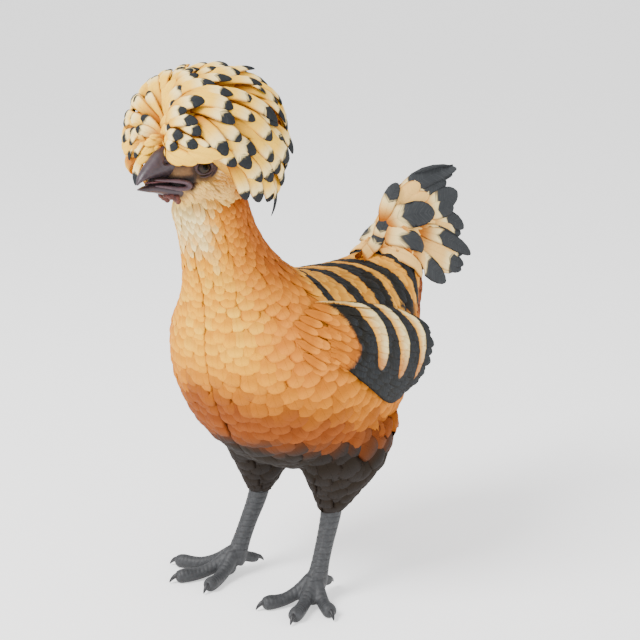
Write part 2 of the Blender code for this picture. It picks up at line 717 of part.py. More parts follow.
def toe_path(start, away, length, thin):
    """Lay a toe along the floor from the foot's middle, with a pad at each joint."""
    path = []
    for along, half in ((0.0, 1.08), (0.2, 1.04), (0.36, 0.9), (0.52, 1.0), (0.68, 0.88), (0.84, 1.0),
                        (0.95, 0.88), (1.0, 0.55)):
        point = start + away * length * along
        radius = TOE_RADIUS * half * thin
        height = max(radius, 0.8 * TOE_RADIUS * thin) - TOE_FLAT
        path.append((point.x, point.y, height, radius))
    return path


def level_loft(path):
    """Loft a limb from level rings about points that each hold x, y, z and a half width."""
    return loft([[Vector((x + radius * math.cos(turn), y + radius * 1.08 * math.sin(turn), z))
                  for turn in (2 * math.pi * step / 14 for step in range(14))] for x, y, z, radius in path])


def make_wattles(head, lower_beak):
    """Hang a small lobed wattle under each side of the lower beak."""
    for side_name, side in (("left", 1), ("right", -1)):
        lobes = [solid("lobe", globe((side * x, y, z), (radius * 0.75, radius, radius), 7, 5), "wattle")
                 for x, y, z, radius in WATTLE_LOBES]
        lobes[0].name = "wattle_" + side_name
        combine(lobes[0], lobes[1:], "UNION")
        cut_clear(lobes[0], head, lower_beak)


def main():
    """Build the hen and set her on the middle of the floor."""
    for thing in list(bpy.data.objects):
        bpy.data.objects.remove(thing)
    torso = flesh("torso", BODY_STATIONS, NECK_END, TORSO_END, 15, BODY_SIDES, BODY_SQUARENESS, "buff")
    flesh("rump", BODY_STATIONS, TORSO_END + parting(TORSO_END), RUMP_END, 4, BODY_SIDES, BODY_SQUARENESS, "buff")
    head = make_head()
    neck = flesh("neck", BODY_STATIONS, 0, NECK_END - parting(NECK_END), 6, BODY_SIDES, BODY_SQUARENESS, "buff")
    cut_clear(neck, head)
    upper, lower = make_beak(head)
    for side_name, side in (("left", 1), ("right", -1)):
        place = (side * EYE_CENTRE[0], *EYE_CENTRE[1:])
        solid("eye_" + side_name, globe(place, [EYE_RADIUS] * 3, 12, 7), "eye")
    make_wattles(head, lower)
    make_crest(head, neck, upper)
    draw = random.Random(SEED)
    for side_name, side in (("left", 1), ("right", -1)):
        make_wing("wing_" + side_name, side, draw)
        make_leg(side_name, torso)
    make_tail(draw)
    centre_on_floor()


def centre_on_floor():
    """Move every mesh so that the middle of the whole hen's outline lies over the origin."""
    things = [thing for thing in bpy.context.scene.objects if thing.type == "MESH"]
    points = [vertex.co for thing in things for vertex in thing.data.vertices]
    low = Vector([min(point[axis] for point in points) for axis in range(3)])
    high = Vector([max(point[axis] for point in points) for axis in range(3)])
    shift = Vector((-(low.x + high.x) / 2, -(low.y + high.y) / 2, -low.z))
    for thing in things:
        for vertex in thing.data.vertices:
            vertex.co += shift


main()
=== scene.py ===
"""Looks of the polish crested hen: one skin, feathers laid on it as thin closed vanes, beak, eyes and legs.

The hen faces -Y. Tables hold millimetres in the maker's frame, whose middle line is x = 0; to_frame brings
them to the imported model's metres. Feathers are paths with a half width and a facing, made into vanes by one
Geometry Nodes tree.
"""
import math

import bmesh
import bpy
import numpy as np
from mathutils import Matrix, Vector
from mathutils.bvhtree import BVHTree
from mathutils.kdtree import KDTree


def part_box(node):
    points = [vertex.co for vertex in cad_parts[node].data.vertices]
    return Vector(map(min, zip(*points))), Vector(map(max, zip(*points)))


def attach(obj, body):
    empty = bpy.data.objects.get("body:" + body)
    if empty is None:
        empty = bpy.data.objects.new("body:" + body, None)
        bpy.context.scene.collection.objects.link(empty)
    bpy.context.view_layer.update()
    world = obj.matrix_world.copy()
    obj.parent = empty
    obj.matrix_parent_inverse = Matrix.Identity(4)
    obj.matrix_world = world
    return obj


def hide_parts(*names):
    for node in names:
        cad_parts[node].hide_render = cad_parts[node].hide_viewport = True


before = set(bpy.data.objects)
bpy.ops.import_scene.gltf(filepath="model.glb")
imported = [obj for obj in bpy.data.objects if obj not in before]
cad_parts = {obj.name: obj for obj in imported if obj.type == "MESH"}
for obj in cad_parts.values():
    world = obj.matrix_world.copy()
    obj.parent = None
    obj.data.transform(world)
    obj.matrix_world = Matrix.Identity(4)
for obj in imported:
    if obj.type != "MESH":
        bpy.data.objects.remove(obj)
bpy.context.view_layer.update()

MM = 0.001
SIDES = (("left", 1), ("right", -1))
SEED, CREST_SEED = 11, 5
# Random places that are tried as roots, and how far apart roots stand against the size of their feathers
COAT_TRIES, CREST_TRIES, COVERT_TRIES = 60000, 9000, 900
ROOTS_APART = 0.8
# How coarsely the skin's shapes are melted into one, how often the joins are smoothed, and how deep it lies
SKIN_VOXEL, SKIN_SMOOTHING, SKIN_DEPTH = 1.8, 10, 2.0
# Camera: place, degrees round from the beak and over the level, lens and film width
CAMERA_PLACE, CAMERA_TURN, CAMERA_RISE = (723.0, -826.3, 482.4), 40, 14
CAMERA_LENS, CAMERA_FILM = 84.69, 36
# Studio, in metres: each light's place, width and power, what they aim at, and the reach of the floor
STUDIO_LIGHTS = {"key": ((-0.3, -1.4, 1.7), 1.0, 68), "fill": ((1.7, 0.1, 0.9), 1.4, 8)}
STUDIO_AIM, STUDIO_GLOW, FLOOR_REACH = (0, 0, 0.2), 1.15, 40

# Flesh from the throat on and the head: back y, back z, underside y, underside z, half width
BODY_STATIONS = [
    (-64, 332, -112, 314, 16), (-60, 318, -111, 301, 23.5), (-54, 302, -105, 286, 26.5),
    (-46, 286, -100, 269, 29.5), (-34, 270, -94, 250, 36), (-16, 256, -91, 230, 46.5),
    (6, 247, -91.5, 208, 60.5), (26, 243, -88, 184, 71.5), (44, 241, -79, 157, 78), (58, 241, -61, 128, 79),
    (70, 241, -31, 105, 76), (82, 241.5, 8, 95, 70), (94, 243, 42, 100, 63), (103, 245, 70, 115, 53),
    (111, 250, 95, 140, 43), (117, 257, 117, 165, 34), (122, 266, 136, 189, 26), (127, 275, 150, 209, 18),
    (133, 281, 157, 228, 11)]
HEAD_STATIONS = [
    (-127.5, 350, -126, 326, 8.5), (-122, 356, -120, 318, 12.5), (-112, 362, -111, 312, 16.5),
    (-101, 365, -102, 307, 19), (-90, 366, -92, 303, 20.5), (-78, 365, -81, 300, 21),
    (-66, 361, -68, 301, 20), (-56, 352, -58, 306, 17), (-50, 342, -51, 315, 10)]
BODY_SQUARENESS = 2.25
CHEEK_CENTRE, CHEEK_SIZE = (19.5, -92, 322), (5.5, 11.8, 8.6)
# Thigh of the left side: z, centre x, centre y, half width, half depth
THIGH_STATIONS = [
    (66, 39, 1.5, 8.3, 8.8), (72, 39.5, 3.5, 12, 12.5), (79, 40, 6.5, 16, 17), (87, 40, 9.5, 20.5, 22.5),
    (95, 40, 12.5, 25, 28.5), (106, 40, 16.5, 29, 36.5), (118, 38, 20.5, 31, 43), (132, 37, 22.5, 32, 47)]
# How far each knee is drawn in, to nothing at the thigh's top
THIGH_SHIFT, THIGH_TOP = {1: 0, -1: -5.5}, 125
EYE_CENTRE, EYE_RADIUS = (14.6, -105.5, 337.5), 5.6
PALE_CHEEK = (20, -92, 337)
LID_CENTRE, LID_TURN = (17.2, -106.2, 337.5), math.radians(18)
# Folds of the lids: radius, thickness, height against width, how far out of the lid's place, and tilt
LID_FOLDS = [(5.9, 1.25, 0.8, 0.2, 0.1), (7.9, 0.95, 0.84, -0.9, 0.16), (9.8, 0.8, 0.86, -2.0, 0.2)]
BEAK_BASE = (0, -130, 338)
# Beak and tongue: ridge y and z, edge y and z, half width
UPPER_BEAK_STATIONS = [
    (-117, 355, -117, 330.5, 9.6), (-121, 353.5, -121, 331, 9.4), (-129, 351.2, -127, 331.6, 8.4),
    (-134, 349, -133, 332, 7.3), (-139.5, 344.3, -139, 332, 6), (-145, 339.4, -145, 331.4, 4.5),
    (-149.5, 334.6, -149.3, 330, 2.8), (-152.2, 329.6, -151.4, 328.6, 0.9)]
LOWER_BEAK_STATIONS = [
    (-117, 326.6, -117, 316, 8.4), (-122, 326.8, -122, 317.4, 7.6), (-128, 327.3, -128, 319.3, 6.6),
    (-136, 328, -136, 321.7, 5.3), (-144, 327.6, -144, 323.4, 3.8), (-151, 326.2, -151, 325.2, 1.2)]
TONGUE_STATIONS = [
    (-118, 329, -118, 327, 3.4), (-126, 329.4, -126, 327.4, 3.6), (-133, 330.2, -133, 328.3, 3.4),
    (-139, 330.3, -139, 328.6, 2.6), (-143.5, 330.0, -143.5, 329, 1.0)]
LINING_STATIONS = [
    (-108, 332, -108, 321, 6.5), (-120, 332.5, -120, 324, 3.4), (-130, 333, -130, 325.5, 3.0),
    (-140, 332.5, -140, 327, 2.0)]
NOSTRIL_PLACE, NOSTRIL_SIZE = (7.2, -131, 342.4), (2.0, 2.7, 1.35)
# Fleshy rim of the mouth on her left: x, y, z and radius
GAPE_PATH = [
    (4.6, -140, 331.4, 0.6), (6.6, -134, 330.6, 0.9), (8.9, -128, 329.9, 1.2), (11.6, -122.5, 329.1, 1.5),
    (13.6, -118.2, 327.8, 1.6), (14.2, -116.6, 326, 1.7), (13.0, -118.2, 324.3, 1.7),
    (10.6, -122.6, 324.1, 1.6), (8.0, -128, 325.2, 1.3), (5.8, -134, 326.4, 1.0), (4.2, -139.5, 327.3, 0.6)]
GAPE_CORNER = (14.4, -115.8, 326)
# Wattle on her left: x, y, z and radius of each lobe
WATTLE_LOBES = [
    (4.8, -125.6, 318.8, 2.5), (5.8, -121.8, 317.2, 3.0), (5.2, -119.4, 314.8, 2.4),
    (2.4, -128.4, 319.4, 2.0)]
# Legs from the knee down to the foot, then the tips of the middle, inner, outer and back toe
SHANK_PATHS = {
    1: [(39.5, 1.5, 70, 8.0), (39.5, 1.5, 65.7, 8.0), (40, -2, 56, 7.4), (40.8, -7.5, 44, 6.8),
        (41.5, -13, 31, 6.8), (41.6, -16.5, 20, 7.6), (41.2, -18.2, 13.5, 7.8), (40.6, -19.5, 9, 6.6)],
    -1: [(34, 1, 70, 8.0), (34, 1, 65.7, 8.0), (34.8, -2.5, 56, 7.4), (36, -8.5, 44, 6.8),
         (37.2, -14.5, 31, 6.8), (38.3, -19, 20, 7.6), (38.8, -21, 13.5, 7.8), (39.3, -22.6, 9, 6.6)]}
TOE_TIPS = {
    1: [(57, -66), (20, -62.8), (76.5, -40), (36, 8.5)],
    -1: [(65, -69.2), (30, -67.2), (91, -43), (33.5, 5)]}
# Toe: share of the length, half width, and height of its middle over the floor
TOE_PLAN = [
    (0.0, 5.6, 20), (0.12, 5.6, 16), (0.26, 5.3, 11.5), (0.42, 5.1, 7.8), (0.58, 4.9, 5.6), (0.74, 5.2, 4.9),
    (0.88, 5.6, 5.1), (0.98, 4.9, 4.7), (1.03, 2.6, 4.4)]
BACK_TOE_PLAN = [
    (0.0, 4.6, 19), (0.3, 4.6, 15), (0.55, 4.3, 12), (0.8, 4.2, 9.8), (0.97, 3.5, 8.6), (1.03, 1.8, 8.2)]
CLAW_LENGTH, BACK_CLAW_RAISED = 6.5, 3.2
# Claw: share of the length, height and half width
CLAW_PLAN = [
    (-0.55, 5.6, 2.2), (-0.1, 6.2, 2.3), (0.3, 5.7, 1.9), (0.62, 4.3, 1.4), (0.86, 2.7, 0.9),
    (1.0, 1.3, 0.35)]
SCUTE_SPACING, TOE_SCUTE_SPACING, GROOVE_CUT = 4.4, 3.2, 0.32
# Pad under the foot: how far ahead of the shank, height, and half sizes
PAD_AHEAD, PAD_HEIGHT, PAD_SIZE = 9, 7.5, (11, 9, 6.5)
FOOT_CLEARANCE = 0.15

# Coat: shares of a body feather and its width there, the widths of a long feather of neck and throat, then
# the dark bands across the back, each middle and half width, and how far they slant
BODY_PLAN = ([0, 0.12, 0.3, 0.5, 0.68, 0.82, 0.92, 0.98, 1.0],
             [0.35, 0.58, 0.82, 0.96, 1.0, 0.93, 0.74, 0.44, 0.12])
HACKLE_WIDTHS = [0.40, 0.62, 0.86, 0.97, 0.90, 0.68, 0.42, 0.20, 0.05]
BACK_BANDS, BAND_SLANT = [(-5, 6.6), (35, 6.8), (62, 7.2), (80, 5.4), (107, 6.8)], 0.42
# Heights below which the golden breast turns rufous and the rufous turns charcoal, by y
RUFOUS_EDGE = ([-85, -70, -50, -15, 24, 60], [174, 164, 162, 149, 139, 135])
DARK_EDGE = ([-60, -40, 0, 40, 60], [131, 128, 122, 119, 118])

# Crest: a globe round the crown, half sizes to the side, front, back, top and underside
CREST_CENTRE, CREST_OUTER, CREST_SQUARENESS = (0, -86, 353), (53, 55, 55.5, 50, 62), 2.2
# Height of its lower edge by y, how far that droops on her right, then the groove and the line of its parting
CREST_RIM = [(-150, 352), (-132, 351), (-118, 345), (-102, 340), (-88, 328), (-72, 313), (-52, 308), (0, 308)]
RIM_DROOP = 18
GROOVE_DEPTH, GROOVE_SPREAD = 13, 0.23
PARTING_LOW, PARTING_HIGH, PARTING_SPREAD = math.radians(-6), math.radians(62), 0.62
PARTING_FOOT = (0, -0.995, -0.1)
# Petals that the photograph shows, in degrees from the front and above the level: tip turn and rise, root
# turn and rise, then half width, dark tip and how far the tip stands off
CREST_SHOWN = [
    (143, 54, 63, 65, 3.1, 10.3, 5), (78, 53, 23, 52, 3.6, 11.2, 1), (117, 43, 65, 59, 3.8, 9.9, 1),
    (35, 60, 4, 38, 3.9, 7.1, 1), (44, 33, 2, 24, 4.0, 9.5, 1), (69, 38, 23, 40, 3.6, 8.9, 1),
    (106, 15, 61, 44, 4.5, 13.1, 2), (65, 17, 38, 29, 4.4, 9.7, 1), (83, 18, 51, 30, 3.7, 6.0, 1),
    (108, 12, 77, 26, 3.0, 10.2, 1), (19, 33, 0, 27, 2.0, 6.4, 0), (39, 18, 1, 16, 3.7, 9.0, 1),
    (18, 16, 1, 6, 2.1, 6.0, 0), (29, 9, 1, 5, 3.4, 7.4, 1), (41, 10, 24, 16, 3.4, 6.0, 1),
    (25, 1, 0, 0, 3.3, 5.8, 1), (39, 1, 22, 6, 3.2, 7.5, 1), (48, -1, 32, 4, 2.8, 4.0, 1),
    (58, -4, 37, 19, 4.7, 8.4, 2), (69, 5, 45, 17, 4.1, 5.2, 1), (65, -12, 46, -1, 3.5, 6.7, 1),
    (77, -15, 53, 9, 4.2, 10.0, 1), (126, -15, 62, 18, 5.3, 15.0, 2), (118, -5, 92, 14, 3.7, 11.7, 1),
    (133, -10, 108, 13, 3.2, 12.2, 4), (122, 12, 110, 37, 3.3, 9.6, 1), (112, 36, 106, 49, 2.9, 5.2, 0),
    (104, -27, 74, -1, 4.2, 9.6, 1), (131, -32, 96, -5, 3.6, 13.0, 2), (100, -43, 68, -7, 4.3, 11.6, 0),
    (80, -39, 64, -14, 3.6, 7.6, 0), (128, -45, 84, -15, 4.2, 13.0, 0), (125, -50, 113, -26, 2.7, 14.6, 8),
    (-39, 52, -1, 31, 4.2, 6.9, 1), (-19, 39, -1, 18, 3.8, 4.4, 1), (-34, 31, -6, 19, 3.8, 6.9, 1),
    (-15, 21, 0, 6, 3.8, 5.6, 1), (-27, 18, -11, 12, 3.5, 3.8, 0), (-17, 11, -5, 5, 3.3, 3.9, 1),
    (-23, 10, -14, 0, 2.9, 4.3, 0), (-24, -3, -16, 9, 2.6, 4.8, 0), (-19, -10, -13, 2, 2.6, 4.0, 0),
    (-25, -29, -14, -10, 2.9, 8.5, 1), (-48, 46, -6, 42, 3.5, 6.3, 1), (19, 69, -6, 51, 4.0, 6.8, 1),
    (-145, 81, -7, 68, 3.5, 8.2, 1), (74, 73, 24, 62, 3.2, 7.3, 1), (-27, -12, -18, 4, 2.6, 7.6, 0),
    (-12, 0, -3, 1, 2.7, 0, 0), (-14, -7, -4, -2, 3.2, 0, 0), (-17, -14, -7, -6, 3.5, 0, 0),
    (-9, 6, -1, 5, 2.1, 0, 0), (38, -9, 10, -4, 4.2, 0, 0), (55, -5, 24, -2, 3.8, 0, 1),
    (28, -10, 7, -5, 3.4, 0, 0), (49, -7.5, 18, -6.5, 3.2, 0, 0), (63, -5.5, 36, -2, 3.6, 0, 1)]
# Petal: shares of its length and its width there
CREST_PLAN = ([0, 0.14, 0.3, 0.45, 0.6, 0.74, 0.86, 0.94, 0.985, 1.0],
              [0.42, 0.64, 0.82, 0.93, 1.0, 0.97, 0.82, 0.56, 0.28, 0.06])
# Other petals by the angle of their tips from the parting's foot: spacing, length, half width, root depth,
# dark tip
CREST_GROWTH = [
    (0.0, 4.5, 14, 3.6, 4, 2.5), (0.25, 6.0, 20, 4.6, 6, 4.0), (0.5, 7.6, 30, 5.6, 8, 6.0),
    (0.9, 8.8, 42, 6.4, 10, 8.0), (1.5, 9.4, 50, 6.8, 12, 9.6), (2.4, 9.4, 50, 6.8, 12, 9.6)]
CREST_STEPS = 28

# Wing: shoulder, outline by angle below the level and reach, then top edge, middle and lower edge from front
# to tip
SHOULDER = (-40, 222)
WING_OUTLINE = [
    (-72, 17), (-45, 21), (-28.7, 28.4), (-11.3, 48), (-4.5, 65.6), (-0.5, 80), (3.4, 94), (6.7, 107.5),
    (8.9, 120), (13.3, 123.8), (23.7, 126), (28.5, 130), (32.5, 121.5), (36.3, 110), (44, 100.3), (48.5, 79),
    (52.7, 64), (58.7, 44.3), (68.9, 30.3)]
WING_LINES = np.array([
    [(-36, 238.4), (-20, 236.4), (-2, 233.2), (17, 229.2), (36, 224), (52, 217.3), (66, 209.8), (79, 201.5)],
    [(-42, 219), (-24, 213), (-5, 205.5), (14, 197), (31, 188.5), (47, 181), (62, 174.5), (75, 169)],
    [(-46, 200.5), (-34, 196.6), (-23, 188), (-12, 179.5), (0, 171), (12, 163), (24, 156.5),
     (37, 151.5)]], float)
WING_DOME = (77, 8, 186)  # how far out its middle stands, and where that is
# Wing rows: count, root and tip as shares of the way, half width, lift at root and tip
WING_ROWS = [
    (18, 0.48, 1.0, 5.6, 1.9, 1.6), (17, 0.38, 0.88, 5.4, 2.2, 2.2), (16, 0.28, 0.75, 5.2, 2.5, 2.7),
    (15, 0.18, 0.61, 5.0, 2.8, 3.2), (13, 0.08, 0.48, 4.8, 3.0, 3.6), (11, 0.02, 0.36, 4.6, 3.1, 3.9)]
# Pale crescents across the wing: angle below the level, distance of the middle from the shoulder and half
# width; then how far the orange front reaches, by the same angle
WING_CRESCENTS = [
    [(-72, 16.6, 0.8), (-45, 20.4, 1.0), (-28.6, 26.6, 1.4), (-17, 34.5, 2.6), (-8.8, 41.4, 5.5),
     (0, 44.4, 8.0), (9, 47.6, 8.2), (15, 49.6, 7.8), (28, 53.1, 7.0), (34, 54.7, 5.8), (38.5, 55.4, 4.2),
     (42, 55.6, -2)],
    [(-14, 44.5, 0.5), (-7.5, 56.6, 2.2), (-2.3, 64.2, 4.6), (0, 66.6, 5.9), (9, 76.3, 7.7), (16, 80.8, 7.8),
     (25, 84.5, 6.7), (30, 86.2, 5.4), (33.5, 87.2, 3.4), (36.5, 87.6, -2)],
    [(-2, 74, 0.4), (2, 87, 2.4), (5, 94, 4.4), (8, 101.2, 5.9), (13, 107.3, 5.8), (18.6, 110.7, 5.0),
     (24.8, 112.6, 3.8), (29, 113, 2.0), (32, 113, -2)]]
WING_FRONT = [(-60, 17), (0, 18.5), (25, 23), (41, 28.5), (70, 31)]
# Large feather of wing or tail: shares of its length and its width there
QUILL_PLAN = ([0, 0.1, 0.25, 0.4, 0.55, 0.7, 0.82, 0.91, 0.97, 1.0],
              [0.35, 0.6, 0.85, 0.97, 1.0, 0.98, 0.9, 0.7, 0.42, 0.12])
# Roots of the small feathers over the wing's front: foremost and rearmost y, lowest and highest z, and how
# far apart
COVERTS = (-62, -12, 184, 240, 5.6)

# Tail: the line that its two fans meet on, y and z, and the way that the rearmost tips curl, to the shown
# side; then the feathers of one side, with base, middle and tip, each y and z, half width, dark end and how
# far out it stands
TAIL_RIDGE = [(92, 246), (100, 257), (110, 272), (119, 288), (131, 300), (151, 307), (206, 309)]
TAIL_TURN, CURLED_FROM = np.array((0.69, -1.0, 0.18)), 190
TAIL_SHOWN = [
    (127, 272, 150, 294, 210, 300, 8.5, 54, -3), (131, 275, 160, 295, 202, 296, 7.1, 46, -3),
    (134, 275, 160, 286, 191, 292, 7.1, 31, -3), (138, 272, 160, 281, 182, 287, 7.0, 21, -2.5),
    (143, 270, 169, 276, 200, 283, 9.8, 28, -1), (144, 269, 167, 272, 190, 271, 7.9, 23, 0),
    (146, 265, 175, 265, 202, 252, 7.6, 24, -1.5), (146, 262, 171, 257, 197, 248, 6.2, 9, -1),
    (138, 258, 168, 250, 207, 230, 6.7, 41, 2), (141, 259, 162, 255, 197, 239, 5.8, 32, 1),
    (126, 254, 161, 238, 198, 222, 6.7, 21, 0.5), (124, 251, 161, 234, 195, 218, 6.7, 21, 0),
    (121, 250, 156, 233, 185, 219, 6.2, 9, -1), (116, 252, 135, 238, 171, 212, 9.2, 27, 2.5),
    (112, 265, 127, 272, 160, 271, 10.8, 31, 3.5), (109, 259, 116, 257, 142, 246, 9.4, 22, 4),
    (130, 257, 165, 246, 197, 231, 7.5, 7, 0), (111, 267, 116, 282, 130, 297, 6.4, 15, 1),
    (101, 253, 107, 262, 115, 271, 5.6, 12, 1.6), (91, 247, 98, 252, 110, 262, 5.6, 10, 1.8),
    (81, 243, 89, 247, 100, 252, 5.4, 0, 1), (116, 259, 129, 281, 155, 294, 8.2, 0, -2),
    (116, 259, 135, 276, 162, 284, 8.2, 0, -1.5), (116, 256, 134, 266, 163, 262, 8.2, 0, -0.5),
    (113, 252, 126, 257, 161, 251, 8.2, 0, 0), (111, 250, 118, 250, 153, 235, 8.2, 0, 0.5),
    (110, 250, 110, 245, 130, 225, 8.5, 0, 1), (108, 257, 114, 270, 127, 284, 6.8, 0, 0),
    (102, 249, 111, 255, 121, 259, 6.8, 0, 2)]


def srgb(*levels):
    """Turn screen levels of 0 to 255 into the linear colour that the shaders use."""
    level = np.asarray(levels, float) / 255
    return np.where(level <= 0.04045, level / 12.92, ((level + 0.055) / 1.055) ** 2.4)


GOLD, DEEP_GOLD, PALE_GOLD = srgb(238, 165, 25), srgb(198, 121, 31), srgb(248, 194, 62)
CREAM, BUFF = srgb(250, 226, 160), srgb(240, 172, 62)
RUFOUS, ORANGE, BELLY = srgb(182, 104, 40), srgb(216, 134, 42), srgb(138, 72, 30)
GREY = srgb(56, 58, 60)
SLATE, CHARCOAL, HORN, LEG = srgb(40, 42, 44), srgb(46, 42, 40), srgb(56, 45, 50), srgb(53, 54, 56)
DUSKY, TAN, MOUTH, LIP = srgb(66, 50, 52), srgb(168, 132, 88), srgb(34, 20, 21), srgb(74, 54, 60)
TONGUE, WATTLE, CLAW = srgb(112, 70, 74), srgb(88, 44, 38), srgb(38, 38, 40)
PUPIL, EYE_RIM, IRIS = srgb(10, 9, 9), srgb(30, 24, 22), (srgb(34, 28, 24), srgb(62, 52, 42))


def step(value, low, high):
    """Ease from 0 at low to 1 at high."""
    share = np.clip((np.asarray(value, float) - low) / (high - low), 0, 1)
    return share * share * (3 - 2 * share)


def blend(first, second, share):
    """Mix two colours or points by a share from 0 to 1."""
    share = np.asarray(share, float)[..., None]
    return np.asarray(first) * (1 - share) + np.asarray(second) * share


def unit(ways):
    """Scale vectors to length one."""
    ways = np.asarray(ways, float)
    return ways / np.maximum(np.linalg.norm(ways, axis=-1, keepdims=True), 1e-9)


def along_surface(ways, normals):
    """Lay vectors flat on the surface with these normals."""
    return unit(ways - normals * (ways * normals).sum(-1, keepdims=True))


def turns(count):
    """Give angles right round, evenly spaced."""
    return 2 * np.pi * np.arange(count) / count


def read_curve(table, place):
    """Read a smooth curve through the rows of a table at fractional row numbers."""
    rows = np.asarray(table, float)
    rows = np.vstack([2 * rows[0] - rows[1], rows, 2 * rows[-1] - rows[-2]])
    place = np.asarray(place, float)
    index = np.clip(place.astype(int), 0, len(table) - 2)
    part = (place - index)[..., None]
    before, start, end, after = (rows[index + offset] for offset in range(4))
    return 0.5 * (2 * start + (end - before) * part + (2 * before - 5 * start + 4 * end - after) * part ** 2
                  + (3 * start - before - 3 * end + after) * part ** 3)


def through(table, count, ends=None):
    """Read a smooth curve through a table's rows, evenly from first to last or between two of them."""
    return read_curve(table, np.linspace(*(ends or (0, len(table) - 1)), count))


def to_frame(points):
    """Bring millimetres of the maker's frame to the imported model's metres."""
    return np.asarray(points, float) * MM - OFFSET


OFFSET = np.array(EYE_CENTRE) * MM - sum(np.array(corner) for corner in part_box("eye_left")) / 2


class Wire:
    """A socket of a material, on which Python's operators add Math nodes."""

    def __init__(self, tree, socket):
        self.tree, self.socket = tree, socket

    def maths(self, operation, *values):
        node = self.tree.nodes.new("ShaderNodeMath")
        node.operation = operation
        for socket, value in zip(node.inputs, values):
            plug(self.tree, socket, value)
        return Wire(self.tree, node.outputs[0])

    def __add__(self, other):
        return self.maths("ADD", self, other)

    def __sub__(self, other):
        return self.maths("SUBTRACT", self, other)

    def __neg__(self):
        return self.maths("MULTIPLY", self, -1.0)

    def __rsub__(self, other):
        return self.maths("SUBTRACT", other, self)

    def __mul__(self, other):
        return self.maths("MULTIPLY", self, other)

    def __truediv__(self, other):
        return self.maths("DIVIDE", self, other)

    def __abs__(self):
        return self.maths("ABSOLUTE", self)

    def at_most(self, other):
        return self.maths("MINIMUM", self, other)

    def at_least(self, other):
        return self.maths("MAXIMUM", self, other)

    __radd__, __rmul__ = __add__, __mul__

    def step(self, low, high):
        node = self.tree.nodes.new("ShaderNodeMapRange")
        node.interpolation_type = "SMOOTHSTEP"
        for name, value in (("Value", self), ("From Min", low), ("From Max", high)):
            plug(self.tree, node.inputs[name], value)
        return Wire(self.tree, node.outputs[0])


def input_of(node, name):
    """Find a node's input by its number, as in i0, or by its name, with underscores for spaces."""
    if name[0] == "i" and name[1:].isdigit():
        return node.inputs[int(name[1:])]
    return node.inputs[name.replace("_", " ")]


def plug(tree, socket, value):
    """Link a wire into a socket, or set the socket's own value."""
    if isinstance(value, Wire):
        tree.links.new(value.socket, socket)
    elif socket.type == "RGBA":
        socket.default_value = (*[float(part) for part in value[:3]], 1)
    elif socket.type == "VECTOR":
        socket.default_value = [float(part) for part in value]
    else:
        socket.default_value = value


class Finish:
    """A procedural material with one Principled shader."""

    def __init__(self, name, **settings):
        self.material = bpy.data.materials.new(name)
        self.material.use_nodes = True
        self.tree = self.material.node_tree
        self.shader = self.tree.nodes["Principled BSDF"]
        self.set(**settings)

    def set(self, **settings):
        for name, value in settings.items():
            plug(self.tree, self.shader.inputs[name.replace("_", " ")], value)

    def node(self, kind, output=0, settings=None, **values):
        node = self.tree.nodes.new("ShaderNode" + kind)
        for name, value in (settings or {}).items():
            setattr(node, name, value)
        for name, value in values.items():
            plug(self.tree, input_of(node, name), value)
        return Wire(self.tree, node.outputs[output])

    def attribute(self, name, output="Fac"):
        return self.node("Attribute", output, {"attribute_name": name})

    def part(self, vector, axis):
        return self.node("SeparateXYZ", axis, Vector=vector)

    def follow(self, value, places, heights):
        """Read a curve through a table's places and heights."""
        curve = self.tree.nodes.new("ShaderNodeFloatCurve")
        low, base = places[0], min(heights)
        span, rise = places[-1] - low, max(heights) - base
        points = curve.mapping.curves[0].points
        points[0].location = (0, (heights[0] - base) / rise)
        points[1].location = (1, (heights[-1] - base) / rise)
        for place, height in zip(places[1:-1], heights[1:-1]):
            points.new((place - low) / span, (height - base) / rise)
        curve.mapping.update()
        plug(self.tree, curve.inputs["Value"], (value - low) / span)
        return Wire(self.tree, curve.outputs[0]) * rise + base

    def vector(self, x, y, z):
        return self.node("CombineXYZ", X=x, Y=y, Z=z)

    def noise(self, vector, scale, detail=2.0, roughness=0.5):
        return self.node("TexNoise", 0, Vector=vector, Scale=scale, Detail=detail, Roughness=roughness)

    def mix(self, factor, first, second, way="MIX"):
        return self.node("Mix", 2, {"data_type": "RGBA", "blend_type": way}, i0=factor, i6=first, i7=second)

    def place(self):
        return self.node("TexCoord", "Object")

    def bump(self, height, depth, strength=1.0):
        self.set(Normal=self.node("Bump", 0, Height=height, Distance=depth, Strength=strength))


